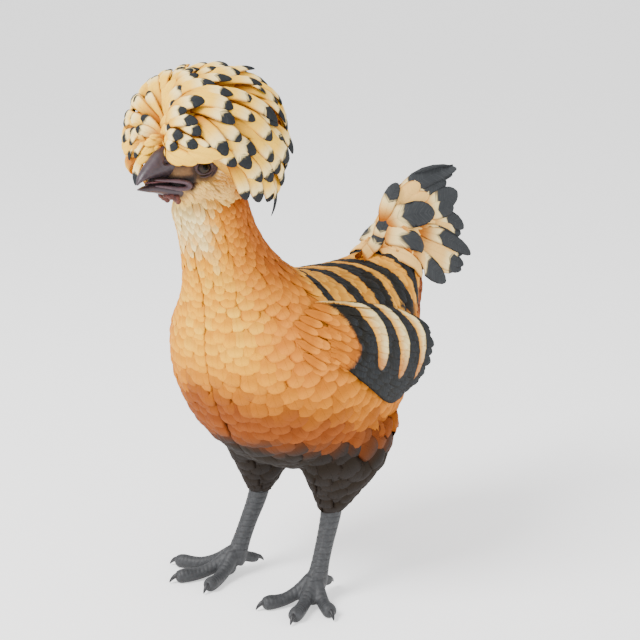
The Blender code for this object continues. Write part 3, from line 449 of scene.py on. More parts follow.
def feather_finish(name, markings=None, dark=SLATE, edge_shade=0.6, lit=(0.5, 0.92)):
    """Give a feather its barbs, shaft, pale end and dark tip, with painted shade along its edges and towards
    its root, from what each vane carries.
    """
    finish = Finish(name, Roughness=0.72, Specular_IOR_Level=0.06)
    tint = finish.attribute("tint", "Color")
    along, across, half, to_tip, fleck, mark = (
        finish.attribute(part) for part in ("along", "across", "half", "to_tip", "fleck", "mark"))
    side = abs(across) * half
    barb = to_tip + side * 0.85
    streak = finish.noise(finish.vector(barb * 1.3, side * 0.12, fleck * 57.0), 1.0)
    broad = finish.noise(finish.vector(barb * 0.33, across * 0.9, fleck * 31.0), 1.0)
    if markings:
        tint = markings(finish, tint, streak)
    shaft = side.step(0.5, 0.15) * along.step(1.0, 0.8)
    pale = to_tip.step(mark * 1.15 + 8.0, mark) * mark.step(0.0, 2.0)
    colour = finish.mix(pale * 0.85, tint, CREAM)
    # Painted shade: the colour darkens to a warm brown along the feather's edges and tip, where it overlaps
    # its neighbours.
    near = (1.0 - abs(across)).at_most(to_tip / half)
    edge_shaded = finish.mix(1.0, colour, (0.74, 0.54, 0.34), "MULTIPLY")
    colour = finish.mix(near.step(0.34, 0.02) * edge_shade, colour, edge_shaded)
    ragged = mark.at_most(14.0) * (streak * 0.5 + broad * 0.5 - 0.5)
    edge = mark * (1.05 - abs(across) * 0.22) + ragged - to_tip
    black = (edge / half).step(-0.25, 0.25) * mark.step(0.5, 1.5)
    tip_colour = finish.mix(streak.step(0.5, 0.85) * 0.8, dark, [1.7 * part for part in dark])
    colour = finish.mix(black, colour, tip_colour)
    # Painted shade towards the root, where the feathers above cover it, partly also the feather's own darker
    # base.
    depth = along.step(*lit)
    value = 0.86 + streak * 0.28
    root = {"Red": 0.7, "Green": 0.6, "Blue": 0.45}
    shade = finish.node("CombineColor", 0,
                        **{part: value * (low + depth * (1 - low)) for part, low in root.items()})
    finish.set(Base_Color=finish.mix(1.0, colour, shade, "MULTIPLY"))
    finish.bump(streak * 0.8 + shaft * 0.9, 0.00035, 0.7)
    return finish.material


def millimetres(finish, axis):
    """Give the place along one axis of the maker's frame, in millimetres."""
    return (finish.part(finish.place(), axis) + float(OFFSET[axis])) / MM


def back_markings(finish, tint, streak):
    """Paint the dark bands across the back, unbroken from feather to feather, where the coat is barred."""
    y, aside = millimetres(finish, 1), abs(millimetres(finish, 0))
    off = (y - 20.0) / 60.0
    slant = (1.0 - off * off).at_least(0.0) * BAND_SLANT
    run = y + aside * slant + (finish.noise(finish.place(), 160.0) - 0.5) * 6.0 + (streak - 0.5) * 3.0
    band = None
    for middle, half in BACK_BANDS:
        here = abs(run - middle).step(half + 0.9, half - 0.9)
        band = here if band is None else band.at_least(here)
    return finish.mix(band * finish.attribute("barred"), tint,
                      finish.mix(streak.step(0.45, 0.8), SLATE, GREY))


def wing_markings(finish, tint, streak):
    """Paint the wing slate beyond its orange front, with pale crescents that end rufous."""
    ahead, below = millimetres(finish, 1) - SHOULDER[0], SHOULDER[1] - millimetres(finish, 2)
    angle = below.maths("ARCTAN2", below, ahead) * (180 / math.pi)
    squared = ahead * ahead + below * below
    blotch = finish.noise(finish.place(), 220.0) - 0.5
    distance = squared.maths("SQRT", squared) + (streak - 0.5) * 2.6 + blotch * 2.4
    colour = finish.mix(streak.step(0.4, 0.8), SLATE, GREY)
    for rows in WING_CRESCENTS:
        angles, middles, halves = zip(*rows)
        half = finish.follow(angle, angles, halves)
        off = distance - finish.follow(angle, angles, middles)
        pale = finish.mix(off.step(-half, half * 0.5), BUFF, CREAM)
        pale = finish.mix(angle.step(angles[-1] - 19, angles[-1] - 4) * 0.8, pale, RUFOUS)
        inside = (half - abs(off)).step(-0.7, 0.7)
        inside = inside * angle.step(angles[0], angles[0] + 3) * angle.step(angles[-1], angles[-1] - 3)
        colour = finish.mix(inside, colour, pale)
    front = (finish.follow(angle, *zip(*WING_FRONT)) - distance + (streak - 0.5) * 7.0).step(-2.5, 2.5)
    return finish.mix(front.at_least(ahead.step(2.0, -4.0)), colour, tint)


def closed(rings):
    """Close a stack of rings, an array of rows, sides and 3, with a flat face at each end."""
    rows, sides = rings.shape[:2]
    index = np.arange(rows * sides).reshape(rows, sides)
    after = np.roll(index, -1, axis=1)
    faces = np.stack([index[:-1], after[:-1], after[1:], index[1:]], -1).reshape(-1, 4).tolist()
    faces += [index[0][::-1].tolist(), index[-1].tolist()]
    return rings.reshape(-1, 3), faces


def flesh_rings(stations, count, sides=64, squareness=BODY_SQUARENESS, ends=None):
    """Lay rings through stations of back, underside and half width."""
    rows = through(stations, count, ends)
    turn = turns(sides)
    up, out = (np.sign(part) * abs(part) ** (2 / squareness) for part in (np.cos(turn), np.sin(turn)))
    middle, arm = (rows[:, :2] + rows[:, 2:4]) / 2, (rows[:, :2] - rows[:, 2:4]) / 2
    rings = np.empty((len(rows), sides, 3))
    rings[..., 0] = rows[:, 4, None] * out
    rings[..., 1:] = middle[:, None] + arm[:, None] * up[None, :, None]
    return rings


def thigh_rings(side):
    """Lay the rings of one thigh, drawn in towards the knee on her right."""
    rows = through(THIGH_STATIONS, 30)
    turn = turns(48)
    lean = THIGH_SHIFT[side] * (THIGH_TOP - rows[:, 0]) / (THIGH_TOP - THIGH_STATIONS[0][0])
    x = side * (rows[:, 1, None] + lean[:, None] + rows[:, 3, None] * np.cos(turn) * side)
    y = rows[:, 2, None] + rows[:, 4, None] * np.sin(turn)
    return np.stack([x, y, np.repeat(rows[:, 0, None], len(turn), 1)], -1)


def sphere_ways(sides, rows):
    """Give directions in rings, from straight up to straight down."""
    turn, polar = turns(sides), np.pi * (np.arange(rows) + 0.5)[:, None] / rows
    return np.stack([np.sin(polar) * np.cos(turn), np.sin(polar) * np.sin(turn),
                     np.cos(polar) + 0 * turn], -1)


def ball_rings(centre, size, sides=24, rows=14):
    """Lay rings round an ellipsoid."""
    return np.asarray(centre, float) + sphere_ways(sides, rows) * np.asarray(size, float)


def tube_rings(path, sides, count):
    """Lay rings square to a path of points and radii."""
    rows = through(path, count)
    ahead = unit(np.gradient(rows[:, :3], axis=0))
    aside = unit(np.cross(ahead, (0.05, 0.02, 1.0)))
    above = np.cross(aside, ahead)
    turn = turns(sides)
    round_about = aside[:, None] * np.cos(turn)[:, None] + above[:, None] * np.sin(turn)[:, None]
    return rows[:, None, :3] + round_about * np.maximum(rows[:, 3, None, None], 0.05)


def fused(name, shapes, voxel, smooth):
    """Melt overlapping shapes into one smooth piece."""
    thing = link(name, mesh_of(name, shapes))
    whole = thing.modifiers.new("one skin", "REMESH")
    whole.mode, whole.voxel_size = "VOXEL", voxel * MM
    soft = thing.modifiers.new("soft joins", "SMOOTH")
    soft.factor, soft.iterations = 0.5, smooth
    mesh = applied(thing)
    mesh.polygons.foreach_set("use_smooth", [True] * len(mesh.polygons))
    return thing


def moved(mesh, places):
    """Set a mesh's vertices to places in millimetres."""
    mesh.vertices.foreach_set("co", to_frame(places).ravel())
    mesh.update()


def link(name, mesh):
    made = bpy.data.objects.new(name, mesh)
    bpy.context.scene.collection.objects.link(made)
    return made


def mesh_of(name, shapes):
    """Make one mesh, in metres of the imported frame, of closed shapes in millimetres."""
    points, faces, first = [], [], 0
    for shape_points, shape_faces in shapes:
        points.append(to_frame(shape_points))
        faces += [[corner + first for corner in face] for face in shape_faces]
        first += len(shape_points)
    mesh = bpy.data.meshes.new(name)
    mesh.from_pydata(np.vstack(points).tolist(), [], faces)
    work = bmesh.new()
    work.from_mesh(mesh)
    bmesh.ops.recalc_face_normals(work, faces=work.faces)
    work.to_mesh(mesh)
    work.free()
    mesh.polygons.foreach_set("use_smooth", [True] * len(mesh.polygons))
    return mesh


def applied(thing):
    """Turn an object's modifiers into its mesh."""
    mesh = bpy.data.meshes.new_from_object(thing.evaluated_get(bpy.context.evaluated_depsgraph_get()))
    thing.modifiers.clear()
    old, name = thing.data, thing.data.name
    thing.data = mesh
    bpy.data.meshes.remove(old)
    mesh.name = name
    return mesh


def places_of(mesh):
    """Read a mesh's vertices, in millimetres of the maker's frame."""
    places = np.empty(3 * len(mesh.vertices))
    mesh.vertices.foreach_get("co", places)
    return (places.reshape(-1, 3) + OFFSET) / MM


def vertex_normals(mesh):
    normals = np.empty(3 * len(mesh.vertices))
    mesh.vertex_normals.foreach_get("vector", normals)
    return normals.reshape(-1, 3)


def give(mesh, name, values, kind="FLOAT"):
    """Store one value, vector or colour for each vertex."""
    layer = mesh.attributes.new(name, kind, "POINT")
    values = np.asarray(values, float)
    if kind == "FLOAT_COLOR":
        values = np.concatenate([values, np.ones((len(values), 1))], 1)
    layer.data.foreach_set({"FLOAT": "value", "FLOAT_VECTOR": "vector", "FLOAT_COLOR": "color"}[kind],
                           values.ravel())


def dress(thing, finish, slot, *replaced):
    """Put the finish on a piece, let it ride, and hide the nodes it stands for."""
    thing.data.materials.clear()
    thing.data.materials.append(finish)
    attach(thing, "root")
    if replaced:
        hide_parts(*replaced)


def piece(name, shapes, finish, slot, *replaced):
    """Make one dressed piece of closed shapes."""
    thing = link(name, mesh_of(name, shapes))
    dress(thing, finish, slot, *replaced)
    return thing


def vane_tree():
    """Build the tree that turns paths into closed vanes, domed across, with their place on the unwrap."""
    tree = bpy.data.node_groups.new("feathers along their paths", "GeometryNodeTree")
    names = {}
    for name, kind in (("Paths", "Geometry"), ("Points round", "Int"), ("Dome", "Float"),
                       ("Thickness", "Float"), ("Patch", "Float"), ("Finish", "Material")):
        names[name] = tree.interface.new_socket(name, in_out="INPUT",
                                                socket_type="NodeSocket" + kind).identifier
    tree.interface.new_socket("Feathers", in_out="OUTPUT", socket_type="NodeSocketGeometry")
    given = tree.nodes.new("NodeGroupInput")

    def add(kind, settings=None, **values):
        node = tree.nodes.new(kind)
        for name, value in (settings or {}).items():
            setattr(node, name, value)
        for name, value in values.items():
            socket = input_of(node, name)
            if hasattr(value, "links"):
                tree.links.new(value, socket)
            else:
                socket.default_value = value
        return node

    def maths(operation, first, second):
        return add("ShaderNodeMath", {"operation": operation}, i0=first, i1=second).outputs[0]

    def named(name, kind="FLOAT"):
        return add("GeometryNodeInputNamedAttribute", {"data_type": kind}, Name=name).outputs["Attribute"]

    circle = add("GeometryNodeCurvePrimitiveCircle", Resolution=given.outputs["Points round"], Radius=1.0)
    spot = add("ShaderNodeSeparateXYZ", Vector=add("GeometryNodeInputPosition").outputs[0])
    marked = add("GeometryNodeStoreNamedAttribute", {"data_type": "FLOAT", "domain": "POINT"},
                 Geometry=circle.outputs[0], Name="across", Value=spot.outputs["X"])
    squared = maths("MULTIPLY", spot.outputs["X"], spot.outputs["X"])
    arch = maths("MULTIPLY", given.outputs["Dome"], maths("SUBTRACT", 1.0, squared))
    height = maths("ADD", maths("MULTIPLY", spot.outputs["Y"], given.outputs["Thickness"]), arch)
    section = add("GeometryNodeSetPosition", Geometry=marked.outputs[0],
                  Position=add("ShaderNodeCombineXYZ", X=height, Y=maths("MULTIPLY", spot.outputs["X"], -1.0),
                               Z=0.0).outputs[0])
    curves = add("GeometryNodeMeshToCurve", Mesh=given.outputs["Paths"])
    faced = add("GeometryNodeSetCurveNormal", {"mode": "FREE"}, Curve=curves.outputs[0],
                Normal=named("facing", "FLOAT_VECTOR"))
    vanes = add("GeometryNodeCurveToMesh", Curve=faced.outputs[0], Profile_Curve=section.outputs[0],
                Scale=maths("MULTIPLY", named("half"), MM), Fill_Caps=True)
    offset = add("ShaderNodeCombineXYZ", X=maths("MULTIPLY", named("across"), 0.5),
                 Y=maths("SUBTRACT", named("along"), 0.5), Z=0.0)
    size = add("ShaderNodeCombineXYZ", X=given.outputs["Patch"], Y=given.outputs["Patch"], Z=0.0)
    patch = add("ShaderNodeVectorMath", {"operation": "MULTIPLY_ADD"}, i0=offset.outputs[0],
                i1=size.outputs[0], i2=named("cell", "FLOAT_VECTOR"))
    mapped = add("GeometryNodeStoreNamedAttribute", {"data_type": "FLOAT2", "domain": "CORNER"},
                 Geometry=vanes.outputs[0], Name="OFBake", Value=patch.outputs[0])
    smooth = add("GeometryNodeSetShadeSmooth", Geometry=mapped.outputs[0])
    real = add("GeometryNodeRealizeInstances", Geometry=smooth.outputs[0])
    coated = add("GeometryNodeSetMaterial", Geometry=real.outputs[0], Material=given.outputs["Finish"])
    end = tree.nodes.new("NodeGroupOutput")
    tree.links.new(coated.outputs[0], end.inputs[0])
    return tree, names


VANES, VANE_INPUTS = vane_tree()


def lay_vanes(name, paths, finish, slot, *replaced, round_points=8, dome=0.17, thickness=0.06, patch=0.003):
    """Make one piece of many feathers from their paths, arrays of feathers and stations.

    A path's points and half widths are millimetres. Patch is the size of each feather's place on the unwrap.
    """
    count, stations = paths["points"].shape[:2]
    mesh = bpy.data.meshes.new(name)
    index = np.arange(count * stations).reshape(count, stations)
    edges = np.stack([index[:, :-1], index[:, 1:]], -1).reshape(-1, 2)
    mesh.vertices.add(count * stations)
    mesh.vertices.foreach_set("co", to_frame(paths["points"]).ravel())
    mesh.edges.add(len(edges))
    mesh.edges.foreach_set("vertices", edges.ravel())
    give(mesh, "facing", paths["facing"].reshape(-1, 3), "FLOAT_VECTOR")
    cells = np.zeros((count, stations, 3))
    cells[..., :2] = paths["cell"][:, None]
    give(mesh, "cell", cells.reshape(-1, 3), "FLOAT_VECTOR")
    give(mesh, "tint", paths["tint"].reshape(-1, 3), "FLOAT_COLOR")
    for part in ("half", "along", "to_tip", "fleck", "mark", "barred"):
        give(mesh, part, np.broadcast_to(paths.get(part, 0.0), (count, stations)).ravel())
    thing = link(name, mesh)
    growth = thing.modifiers.new("feathers", "NODES")
    growth.node_group = VANES
    for label, value in (("Points round", round_points), ("Dome", dome), ("Thickness", thickness),
                         ("Patch", patch), ("Finish", finish)):
        growth[VANE_INPUTS[label]] = value
    mesh = applied(thing)
    for part in ("facing", "cell"):
        if part in mesh.attributes:
            mesh.attributes.remove(mesh.attributes[part])
    dress(thing, finish, slot, *replaced)
    return thing


def feathers(points, facing, shares, half, widths, length, fleck, tint, cell, **more):
    """Gather a set of feathers: their paths, and what each carries along for its shape and its finish."""
    return {"points": points, "facing": facing, "half": half[:, None] * widths, "along": shares[None],
            "to_tip": length[:, None] * (1 - shares[None]), "fleck": fleck[:, None], "tint": tint,
            "cell": cell, **more}


def spread_cells(places, rim=0.02):
    """Fit places on the unwrap into the unit square."""
    places = np.asarray(places, float)
    low, high = places.min(0), places.max(0)
    return rim + (1 - 2 * rim) * (places - low) / np.maximum(high - low, 1e-6)


def to_left(points):
    """Mirror points of her right side to her left."""
    return np.concatenate([abs(points[..., :1]), points[..., 1:]], -1)


def eye_distance(points):
    """Tell how far points lie from the nearer eye's centre."""
    return np.linalg.norm(to_left(points) - EYE_CENTRE, axis=-1)


def face_tint(points, colour):
    """Tint the bare face: dusky round eye, beak and chin, tan between beak and eye."""
    y, z = points[..., 1], points[..., 2]
    to_eye = eye_distance(points)
    to_gape = np.linalg.norm(to_left(points) - GAPE_CORNER, axis=-1)
    colour = blend(colour, TAN, step(y, -108, -114) * step(z, 326, 331) * step(z, 342, 339))
    above_beak = step(y, -112, -120) * step(z, 336, 340)
    chin = step(y, -113, -119) * step(z, 322, 317) * step(z, 306, 312)
    dusky = np.maximum.reduce([step(to_eye, 12.5, 8.5), above_beak, step(to_gape, 8.5, 4.0), chin])
    colour = blend(colour, DUSKY, 0.85 * dusky)
    return blend(colour, MOUTH, step(y, -110, -113.5) * step(z, 321, 323.5) * step(z, 333.5, 331.5))


def make_skin():
    """Join neck, body, rump, tail root, head and thighs into one skin, inside the coat by its depth."""
    shapes = [closed(flesh_rings(BODY_STATIONS, 120)), closed(flesh_rings(HEAD_STATIONS, 60, squareness=2.1))]
    for side in (1, -1):
        shapes.append(closed(thigh_rings(side)))
        shapes.append(closed(ball_rings((side * CHEEK_CENTRE[0], *CHEEK_CENTRE[1:]), CHEEK_SIZE)))
    thing = fused("skin", shapes, SKIN_VOXEL, SKIN_SMOOTHING)
    places = places_of(thing.data)
    depth = SKIN_DEPTH - 1.4 * step(places[:, 2], 292, 312) * step(places[:, 1], -52, -66)
    depth += 1.6 * step(eye_distance(places), 9.5, 6.0)
    moved(thing.data, places - vertex_normals(thing.data) * depth[:, None])
    return thing


class Surface:
    """A mesh in millimetres, on which points are found and roots are spread."""

    def __init__(self, mesh):
        self.points, self.normals = places_of(mesh), vertex_normals(mesh)
        self.faces = [list(face.vertices) for face in mesh.polygons]
        self.tree = BVHTree.FromPolygons(self.points.tolist(), self.faces)
        mesh.calc_loop_triangles()
        corners = np.empty(3 * len(mesh.loop_triangles), int)
        mesh.loop_triangles.foreach_get("vertices", corners)
        self.corners = corners.reshape(-1, 3)

    def nearest(self, places):
        """Give the nearest points and the smooth normals there."""
        found, ways = np.empty(places.shape), np.empty(places.shape)
        for row, place in enumerate(places):
            spot, _, face, _ = self.tree.find_nearest(place.tolist())
            found[row] = spot
            around = self.faces[face]
            near = 1 / (np.linalg.norm(self.points[around] - found[row], axis=1) + 0.3)
            ways[row] = (self.normals[around] * near[:, None]).sum(0)
        return found, unit(ways)

    def spread(self, draw, count, spacing):
        """Spread roots so that none stands nearer to another than the spacing there."""
        a, b, c = (self.points[self.corners[:, corner]] for corner in range(3))
        area = np.linalg.norm(np.cross(b - a, c - a), axis=1)
        pick = draw.choice(len(area), count, p=area / area.sum())
        first, second = draw.random((2, count))
        turned = first + second > 1
        first, second = np.where(turned, 1 - first, first), np.where(turned, 1 - second, second)
        places = a[pick] + (b - a)[pick] * first[:, None] + (c - a)[pick] * second[:, None]
        ways = unit(self.normals[self.corners[pick]].mean(1))
        apart = spacing(places, ways)
        return thin_out(places, apart, apart > 0), places, ways


def thin_out(places, apart, wanted, fixed=0, lie=None, stretch=1.0):
    """Pick points in their order, each dropping what stands nearer than its spacing, stretched along the lie.

    The first fixed points are kept in any case.
    """
    tree = KDTree(len(places))
    for number, place in enumerate(places):
        tree.insert(place, number)
    tree.balance()
    free, kept = np.array(wanted), []
    for number, place in enumerate(places):
        if free[number] or number < fixed:
            kept.append(number)
            for spot, other, away in tree.find_range(place, apart[number] * stretch):
                along = 0.0 if lie is None else float(np.dot(np.array(spot) - place, lie[number]))
                if away * away - along * along * (1 - 1 / stretch ** 2) < apart[number] ** 2:
                    free[other] = False
    return np.array(kept)


def station_of(points):
    """Give each point's place along the body, the way of the coat there, and how far round from the back."""
    rows = np.asarray(BODY_STATIONS, float)
    middle, under = (rows[:, :2] + rows[:, 2:4]) / 2, unit(rows[:, 2:4] - rows[:, :2])
    ahead = np.stack([-under[:, 1], under[:, 0]], -1)
    ahead *= np.sign((ahead * np.gradient(middle, axis=0)).sum(-1))[:, None]
    flat = points[..., 1:].reshape(-1, 2)
    past = ((flat[:, None] - middle) * ahead).sum(-1)
    index = np.clip(np.cumprod(past >= 0, 1).sum(1) - 1, 0, len(rows) - 2)
    every = np.arange(len(flat))
    near, far = past[every, index], past[every, index + 1]
    share = np.clip(near / np.where(abs(near - far) < 1e-6, 1, near - far), 0, 1)
    way = unit(blend(ahead[index], ahead[index + 1], share))
    centre = blend(middle[index], middle[index + 1], share)
    down = unit(blend(under[index], under[index + 1], share))
    x = points[..., 0].ravel()
    turn = np.arctan2(x, -((flat - centre) * down).sum(-1))
    shape = points.shape[:-1]
    way = np.concatenate([np.zeros((len(way), 1)), way], 1).reshape(*shape, 3)
    return (index + share).reshape(shape), way, (turn / np.pi).reshape(shape)


def search_tree(rings):
    """Make a closed stack of rings ready for rays and nearest points."""
    points, faces = closed(rings)
    return BVHTree.FromPolygons(points.tolist(), faces)


TRUNK = search_tree(flesh_rings(BODY_STATIONS, 80, 48))


def stands_out(points):
    """Tell how far points lie outside the trunk, in millimetres."""
    out = np.empty(len(points))
    for row, point in enumerate(points):
        spot, normal, _, _ = TRUNK.find_nearest(point.tolist())
        out[row] = (Vector(point) - spot).dot(normal)
    return out


def crest_reach(ways, sizes=CREST_OUTER):
    """Give the crest's radius along directions."""
    depth = np.where(ways[..., 1] < 0, sizes[1], sizes[2])
    height = np.where(ways[..., 2] > 0, sizes[3], sizes[4])
    power = CREST_SQUARENESS
    reach = (abs(ways[..., 0] / sizes[0]) ** power + abs(ways[..., 1] / depth) ** power
             + abs(ways[..., 2] / height) ** power) ** (-1 / power)
    turn = np.arctan2(ways[..., 0], np.maximum(-ways[..., 1], 1e-3))
    groove = GROOVE_DEPTH * np.exp(-(turn / GROOVE_SPREAD) ** 2) * step(ways[..., 2], 0.95, 0.35)
    return reach - groove * (ways[..., 1] < 0)


def crest_rim(points):
    """Give the height of the crest's lower edge over these points."""
    droop = RIM_DROOP * np.maximum(0, -points[..., 0] / CREST_OUTER[0])
    places, heights = zip(*CREST_RIM)
    return np.interp(points[..., 1] + droop, places, heights)


def wing_polar(points):
    """Give the angle below the level and the distance from the shoulder, as the wing's rays run."""
    ahead, below = points[..., 1] - SHOULDER[0], SHOULDER[1] - points[..., 2]
    return np.degrees(np.arctan2(below, ahead)), np.hypot(ahead, below)


class Coat:
    """Where each region lies, how its feathers lie, and how large they are."""

    def __init__(self, points, normals):
        self.points, self.normals = points, normals
        self.station, self.way, self.turn = station_of(points)
        self.head = (step(points[:, 2], 300, 312) * step(points[:, 1], -54, -66)
                     * step(stands_out(points), 0.0, 2.5))
        self.thigh = step(points[:, 2], 128, 112) * step(stands_out(points), -1.0, 2.0)
        self.front = (step(abs(self.turn), 0.82, 0.9) * step(self.station, 1.0, 2.0)
                      * step(self.station, 10.5, 9.0))
        self.throat = step(abs(self.turn), 0.5, 0.66) * step(self.station, 4.2, 2.2)
        self.back = back_share(points, abs(self.turn))
        self.nape = step(abs(self.turn), 0.62, 0.40) * step(self.station, 6.5, 3.5) * (1 - self.head)

    def lie(self):
        """Give the way that the feathers lie: down the body, back over the head, down the thighs."""
        over = self.points - np.array(BEAK_BASE)
        over[:, 2] -= 0.5 * abs(over[:, 1])
        way = blend(self.way, unit(over), self.head)
        return along_surface(blend(way, (0, 0.3, -1), self.thigh), self.normals)

    def spacing(self):
        """Give the size of the feathers: small on the face and knees, largest on the flanks."""
        trunk = np.interp(self.station, [0, 2, 4, 6, 9, 13, 16, 18],
                          [3.9, 4.7, 6.4, 8.0, 10.2, 11.2, 9.0, 6.5])
        thigh = np.interp(self.points[:, 2], [66, 84, 112], [4.2, 7.0, 9.2])
        face = np.interp(eye_distance(self.points), [8, 18, 30], [1.9, 2.4, 3.4])
        size = trunk + (thigh - trunk) * self.thigh
        return size + (face - size) * self.head

    def bare(self):
        """Tell which places carry no feather: under beak, eye, crest and wing."""
        x, y, z = self.points.T
        by_eye = eye_distance(self.points) < 9.4
        beak = ((y < -113.5) & (z > 329)) | ((y < -116.5) & (z > 316)) | ((y < -121) & (z > 311))
        under_crest = (z > crest_rim(self.points) + 16) & (self.head > 0.5)
        angle, distance = wing_polar(self.points)
        reach = np.interp(angle, *zip(*WING_OUTLINE))
        under_wing = ((angle > -20) & (angle < 60) & (distance > 8) & (distance < 0.9 * reach - 4)
                      & (abs(x) > 42))
        return by_eye | beak | under_crest | under_wing


def root_spacing(points, normals):
    """Tell how far apart roots stand, or -1 where none does."""
    coat = Coat(points, normals)
    return np.where(coat.bare(), -1.0, coat.spacing() * ROOTS_APART)


def back_share(points, turn):
    """Tell where the banded back lies, behind the hackle and above the wings."""
    y, z = points[..., 1], points[..., 2]
    return step(turn, 0.47, 0.40) * step(y + 30 * (turn - 0.3), -30, -24) * step(z, 200, 212)


def band_share(points):
    """Tell where the dark bands of the back run on the skin."""
    x, y = abs(points[..., 0]), points[..., 1]
    run = y + BAND_SLANT * np.maximum(0, 1 - ((y - 20) / 60) ** 2) * x
    return np.maximum.reduce([step(abs(run - middle), half + 0.9, half - 0.9) for middle, half in BACK_BANDS])


def coat_tint(points, fleck, thigh, head):
    """Colour the coat by place: cream throat, golden breast, buff back, rufous then charcoal underside."""
    station, _, turn = station_of(points)
    x, y, z = np.moveaxis(points, -1, 0)
    turn, ragged = abs(turn), (fleck - 0.5)
    # Deeper gold towards the rear, low on the body and on the flanks: partly the coat's own colour, partly
    # painted shade.
    colour = blend(GOLD, DEEP_GOLD, step(station, 6.5, 11.5) * step(turn, 1.05, 0.55))
    colour = blend(colour, DEEP_GOLD,
                   0.85 * step(z, 204, 168) + 0.35 * step(turn, 0.75, 0.5) * step(station, 7, 4))
    colour = blend(colour, PALE_GOLD,
                   0.65 * step(ragged, -0.2, 0.5) * step(turn, 0.5, 0.8) * step(z, 190, 215))
    colour = blend(colour, ORANGE, 0.7 * step(turn, 0.84, 0.6) * step(station, 6.5, 4.0))
    colour = blend(colour, CREAM, step(turn + 0.08 * ragged, 0.66, 0.9) * step(z + 16 * ragged, 262, 296))
    colour = blend(colour, RUFOUS, step(turn, 0.66, 0.42) * step(station, 6.5, 3.8))
    colour = blend(colour, ORANGE, step(np.hypot(y + 40, z - 212), 52, 24) * step(abs(x), 30, 48))
    colour = blend(colour, BELLY, 0.95 * step(z - np.interp(y, *RUFOUS_EDGE) + 10 * ragged, 13, -12))
    dark = step(z - np.interp(y, *DARK_EDGE) + 6 * ragged, 12, -8)
    colour = blend(colour, CHARCOAL, dark * step(y, 100, 60))
    colour = blend(colour, BELLY, step(y + 16 * ragged, 92, 112) * step(turn, 0.25, 0.45))
    colour = blend(colour, BUFF, back_share(points, turn))
    cheek = blend(PALE_GOLD, DEEP_GOLD, 0.5 * step(z, 332, 322) * step(z, 308, 318) + 0.3 * ragged)
    cheek = blend(cheek, CREAM, 0.8 * step(np.linalg.norm(to_left(points) - PALE_CHEEK, axis=-1), 13, 7))
    cheek = blend(cheek, CREAM, np.maximum(0.35, 0.8 * step(z, 315, 304)))
    colour = blend(colour, face_tint(points, cheek), head)
    return blend(colour, CHARCOAL, thigh * dark)


def coat_paths(skin, draw):
    """Root the body's feathers over the skin and lay their paths along it."""
    kept, places, ways = skin.spread(draw, COAT_TRIES, root_spacing)
    roots, normals = places[kept], ways[kept]
    coat = Coat(roots, normals)
    count, size = len(roots), coat.spacing()
    fleck = draw.random(count)
    shares = np.array(BODY_PLAN[0])
    long = np.maximum(coat.nape, 0.8 * coat.throat)
    widths = (1 - long[:, None]) * BODY_PLAN[1] + long[:, None] * HACKLE_WIDTHS
    length = size * (2.45 + 1.2 * long) * draw.uniform(0.9, 1.1, count)
    half = size * (0.98 - 0.3 * long) * draw.uniform(0.9, 1.1, count)
    high = (np.interp(size, [1.9, 5, 10], [0.22, 1.35, 2.5]) * draw.uniform(0.8, 1.25, count)
            * (1 - 0.6 * coat.back))
    points = np.empty((count, len(shares), 3))
    facing = np.empty_like(points)
    spot, normal, way = roots.copy(), normals.copy(), coat.lie()
    way = unit(way + np.cross(normal, way) * draw.normal(0, 0.10, count)[:, None])
    for station, share in enumerate(shares):
        if station:
            gap = (share - shares[station - 1]) * length
            spot, normal = skin.nearest(spot + way * gap[:, None])
            way = along_surface(way * 0.75 + 0.25 * Coat(spot, normal).lie(), normal)
        clear = 0.82 * half * widths[:, station] * coat.front
        spot[:, 0] = np.where(abs(spot[:, 0]) < clear, np.where(roots[:, 0] < 0, -clear, clear), spot[:, 0])
        rise = -0.4 + (high + 0.4) * share ** 0.85 - 0.2 * high * step(share, 0.85, 1.0)
        points[:, station] = spot + normal * rise[:, None]
        facing[:, station] = normal
    tint = coat_tint(points, fleck[:, None], coat.thigh[:, None], coat.head[:, None])
    cell, barred = np.stack([coat.turn, coat.station], -1), back_share(points, abs(station_of(points)[2]))
    return feathers(points, facing, shares, half, widths, length, fleck, tint, cell, barred=barred), coat


def part_of(paths, chosen):
    """Keep the chosen feathers of a set of paths."""
    return {name: values[chosen] if np.ndim(values) and len(values) == len(chosen) else values
            for name, values in paths.items()}


def make_coat(skin, draw):
    """Lay the body's feathers in pieces that stay small enough each."""
    paths, coat = coat_paths(skin, draw)
    face = coat.head > 0.5
    neck = (coat.station < 4.6) & (coat.thigh < 0.5) & ~face
    legs = coat.thigh >= 0.5
    rest = ~(neck | face | legs)
    back = rest & (paths["barred"].max(1) > 0.02)
    rear = rest & (coat.station > 12.5) & ~back
    sides = rest & ~back & ~rear
    plain = feather_finish("feather of the coat")
    barred = feather_finish("barred feather of the back", back_markings)
    soft = feather_finish("feather of the face", edge_shade=0.45, lit=(0.2, 0.7))
    for name, chosen, slot, dome, finish in (
            ("coat_face", face, "plumage", 0.12, soft),
            ("coat_neck", neck, "plumage", 0.16, plain),
            ("coat_thighs", legs, "plumage_dark", 0.2, plain),
            ("coat_back", back, "rump_fluff", 0.09, barred),
            ("coat_rear", rear, "rump_fluff", 0.16, plain),
            ("coat_left", sides & (coat.turn >= 0), "plumage", 0.17, plain),
            ("coat_right", sides & (coat.turn < 0), "plumage", 0.17, plain)):
        some = part_of(paths, chosen)
        some["cell"] = spread_cells(some["cell"])
        lay_vanes(name, some, finish, slot, dome=dome)


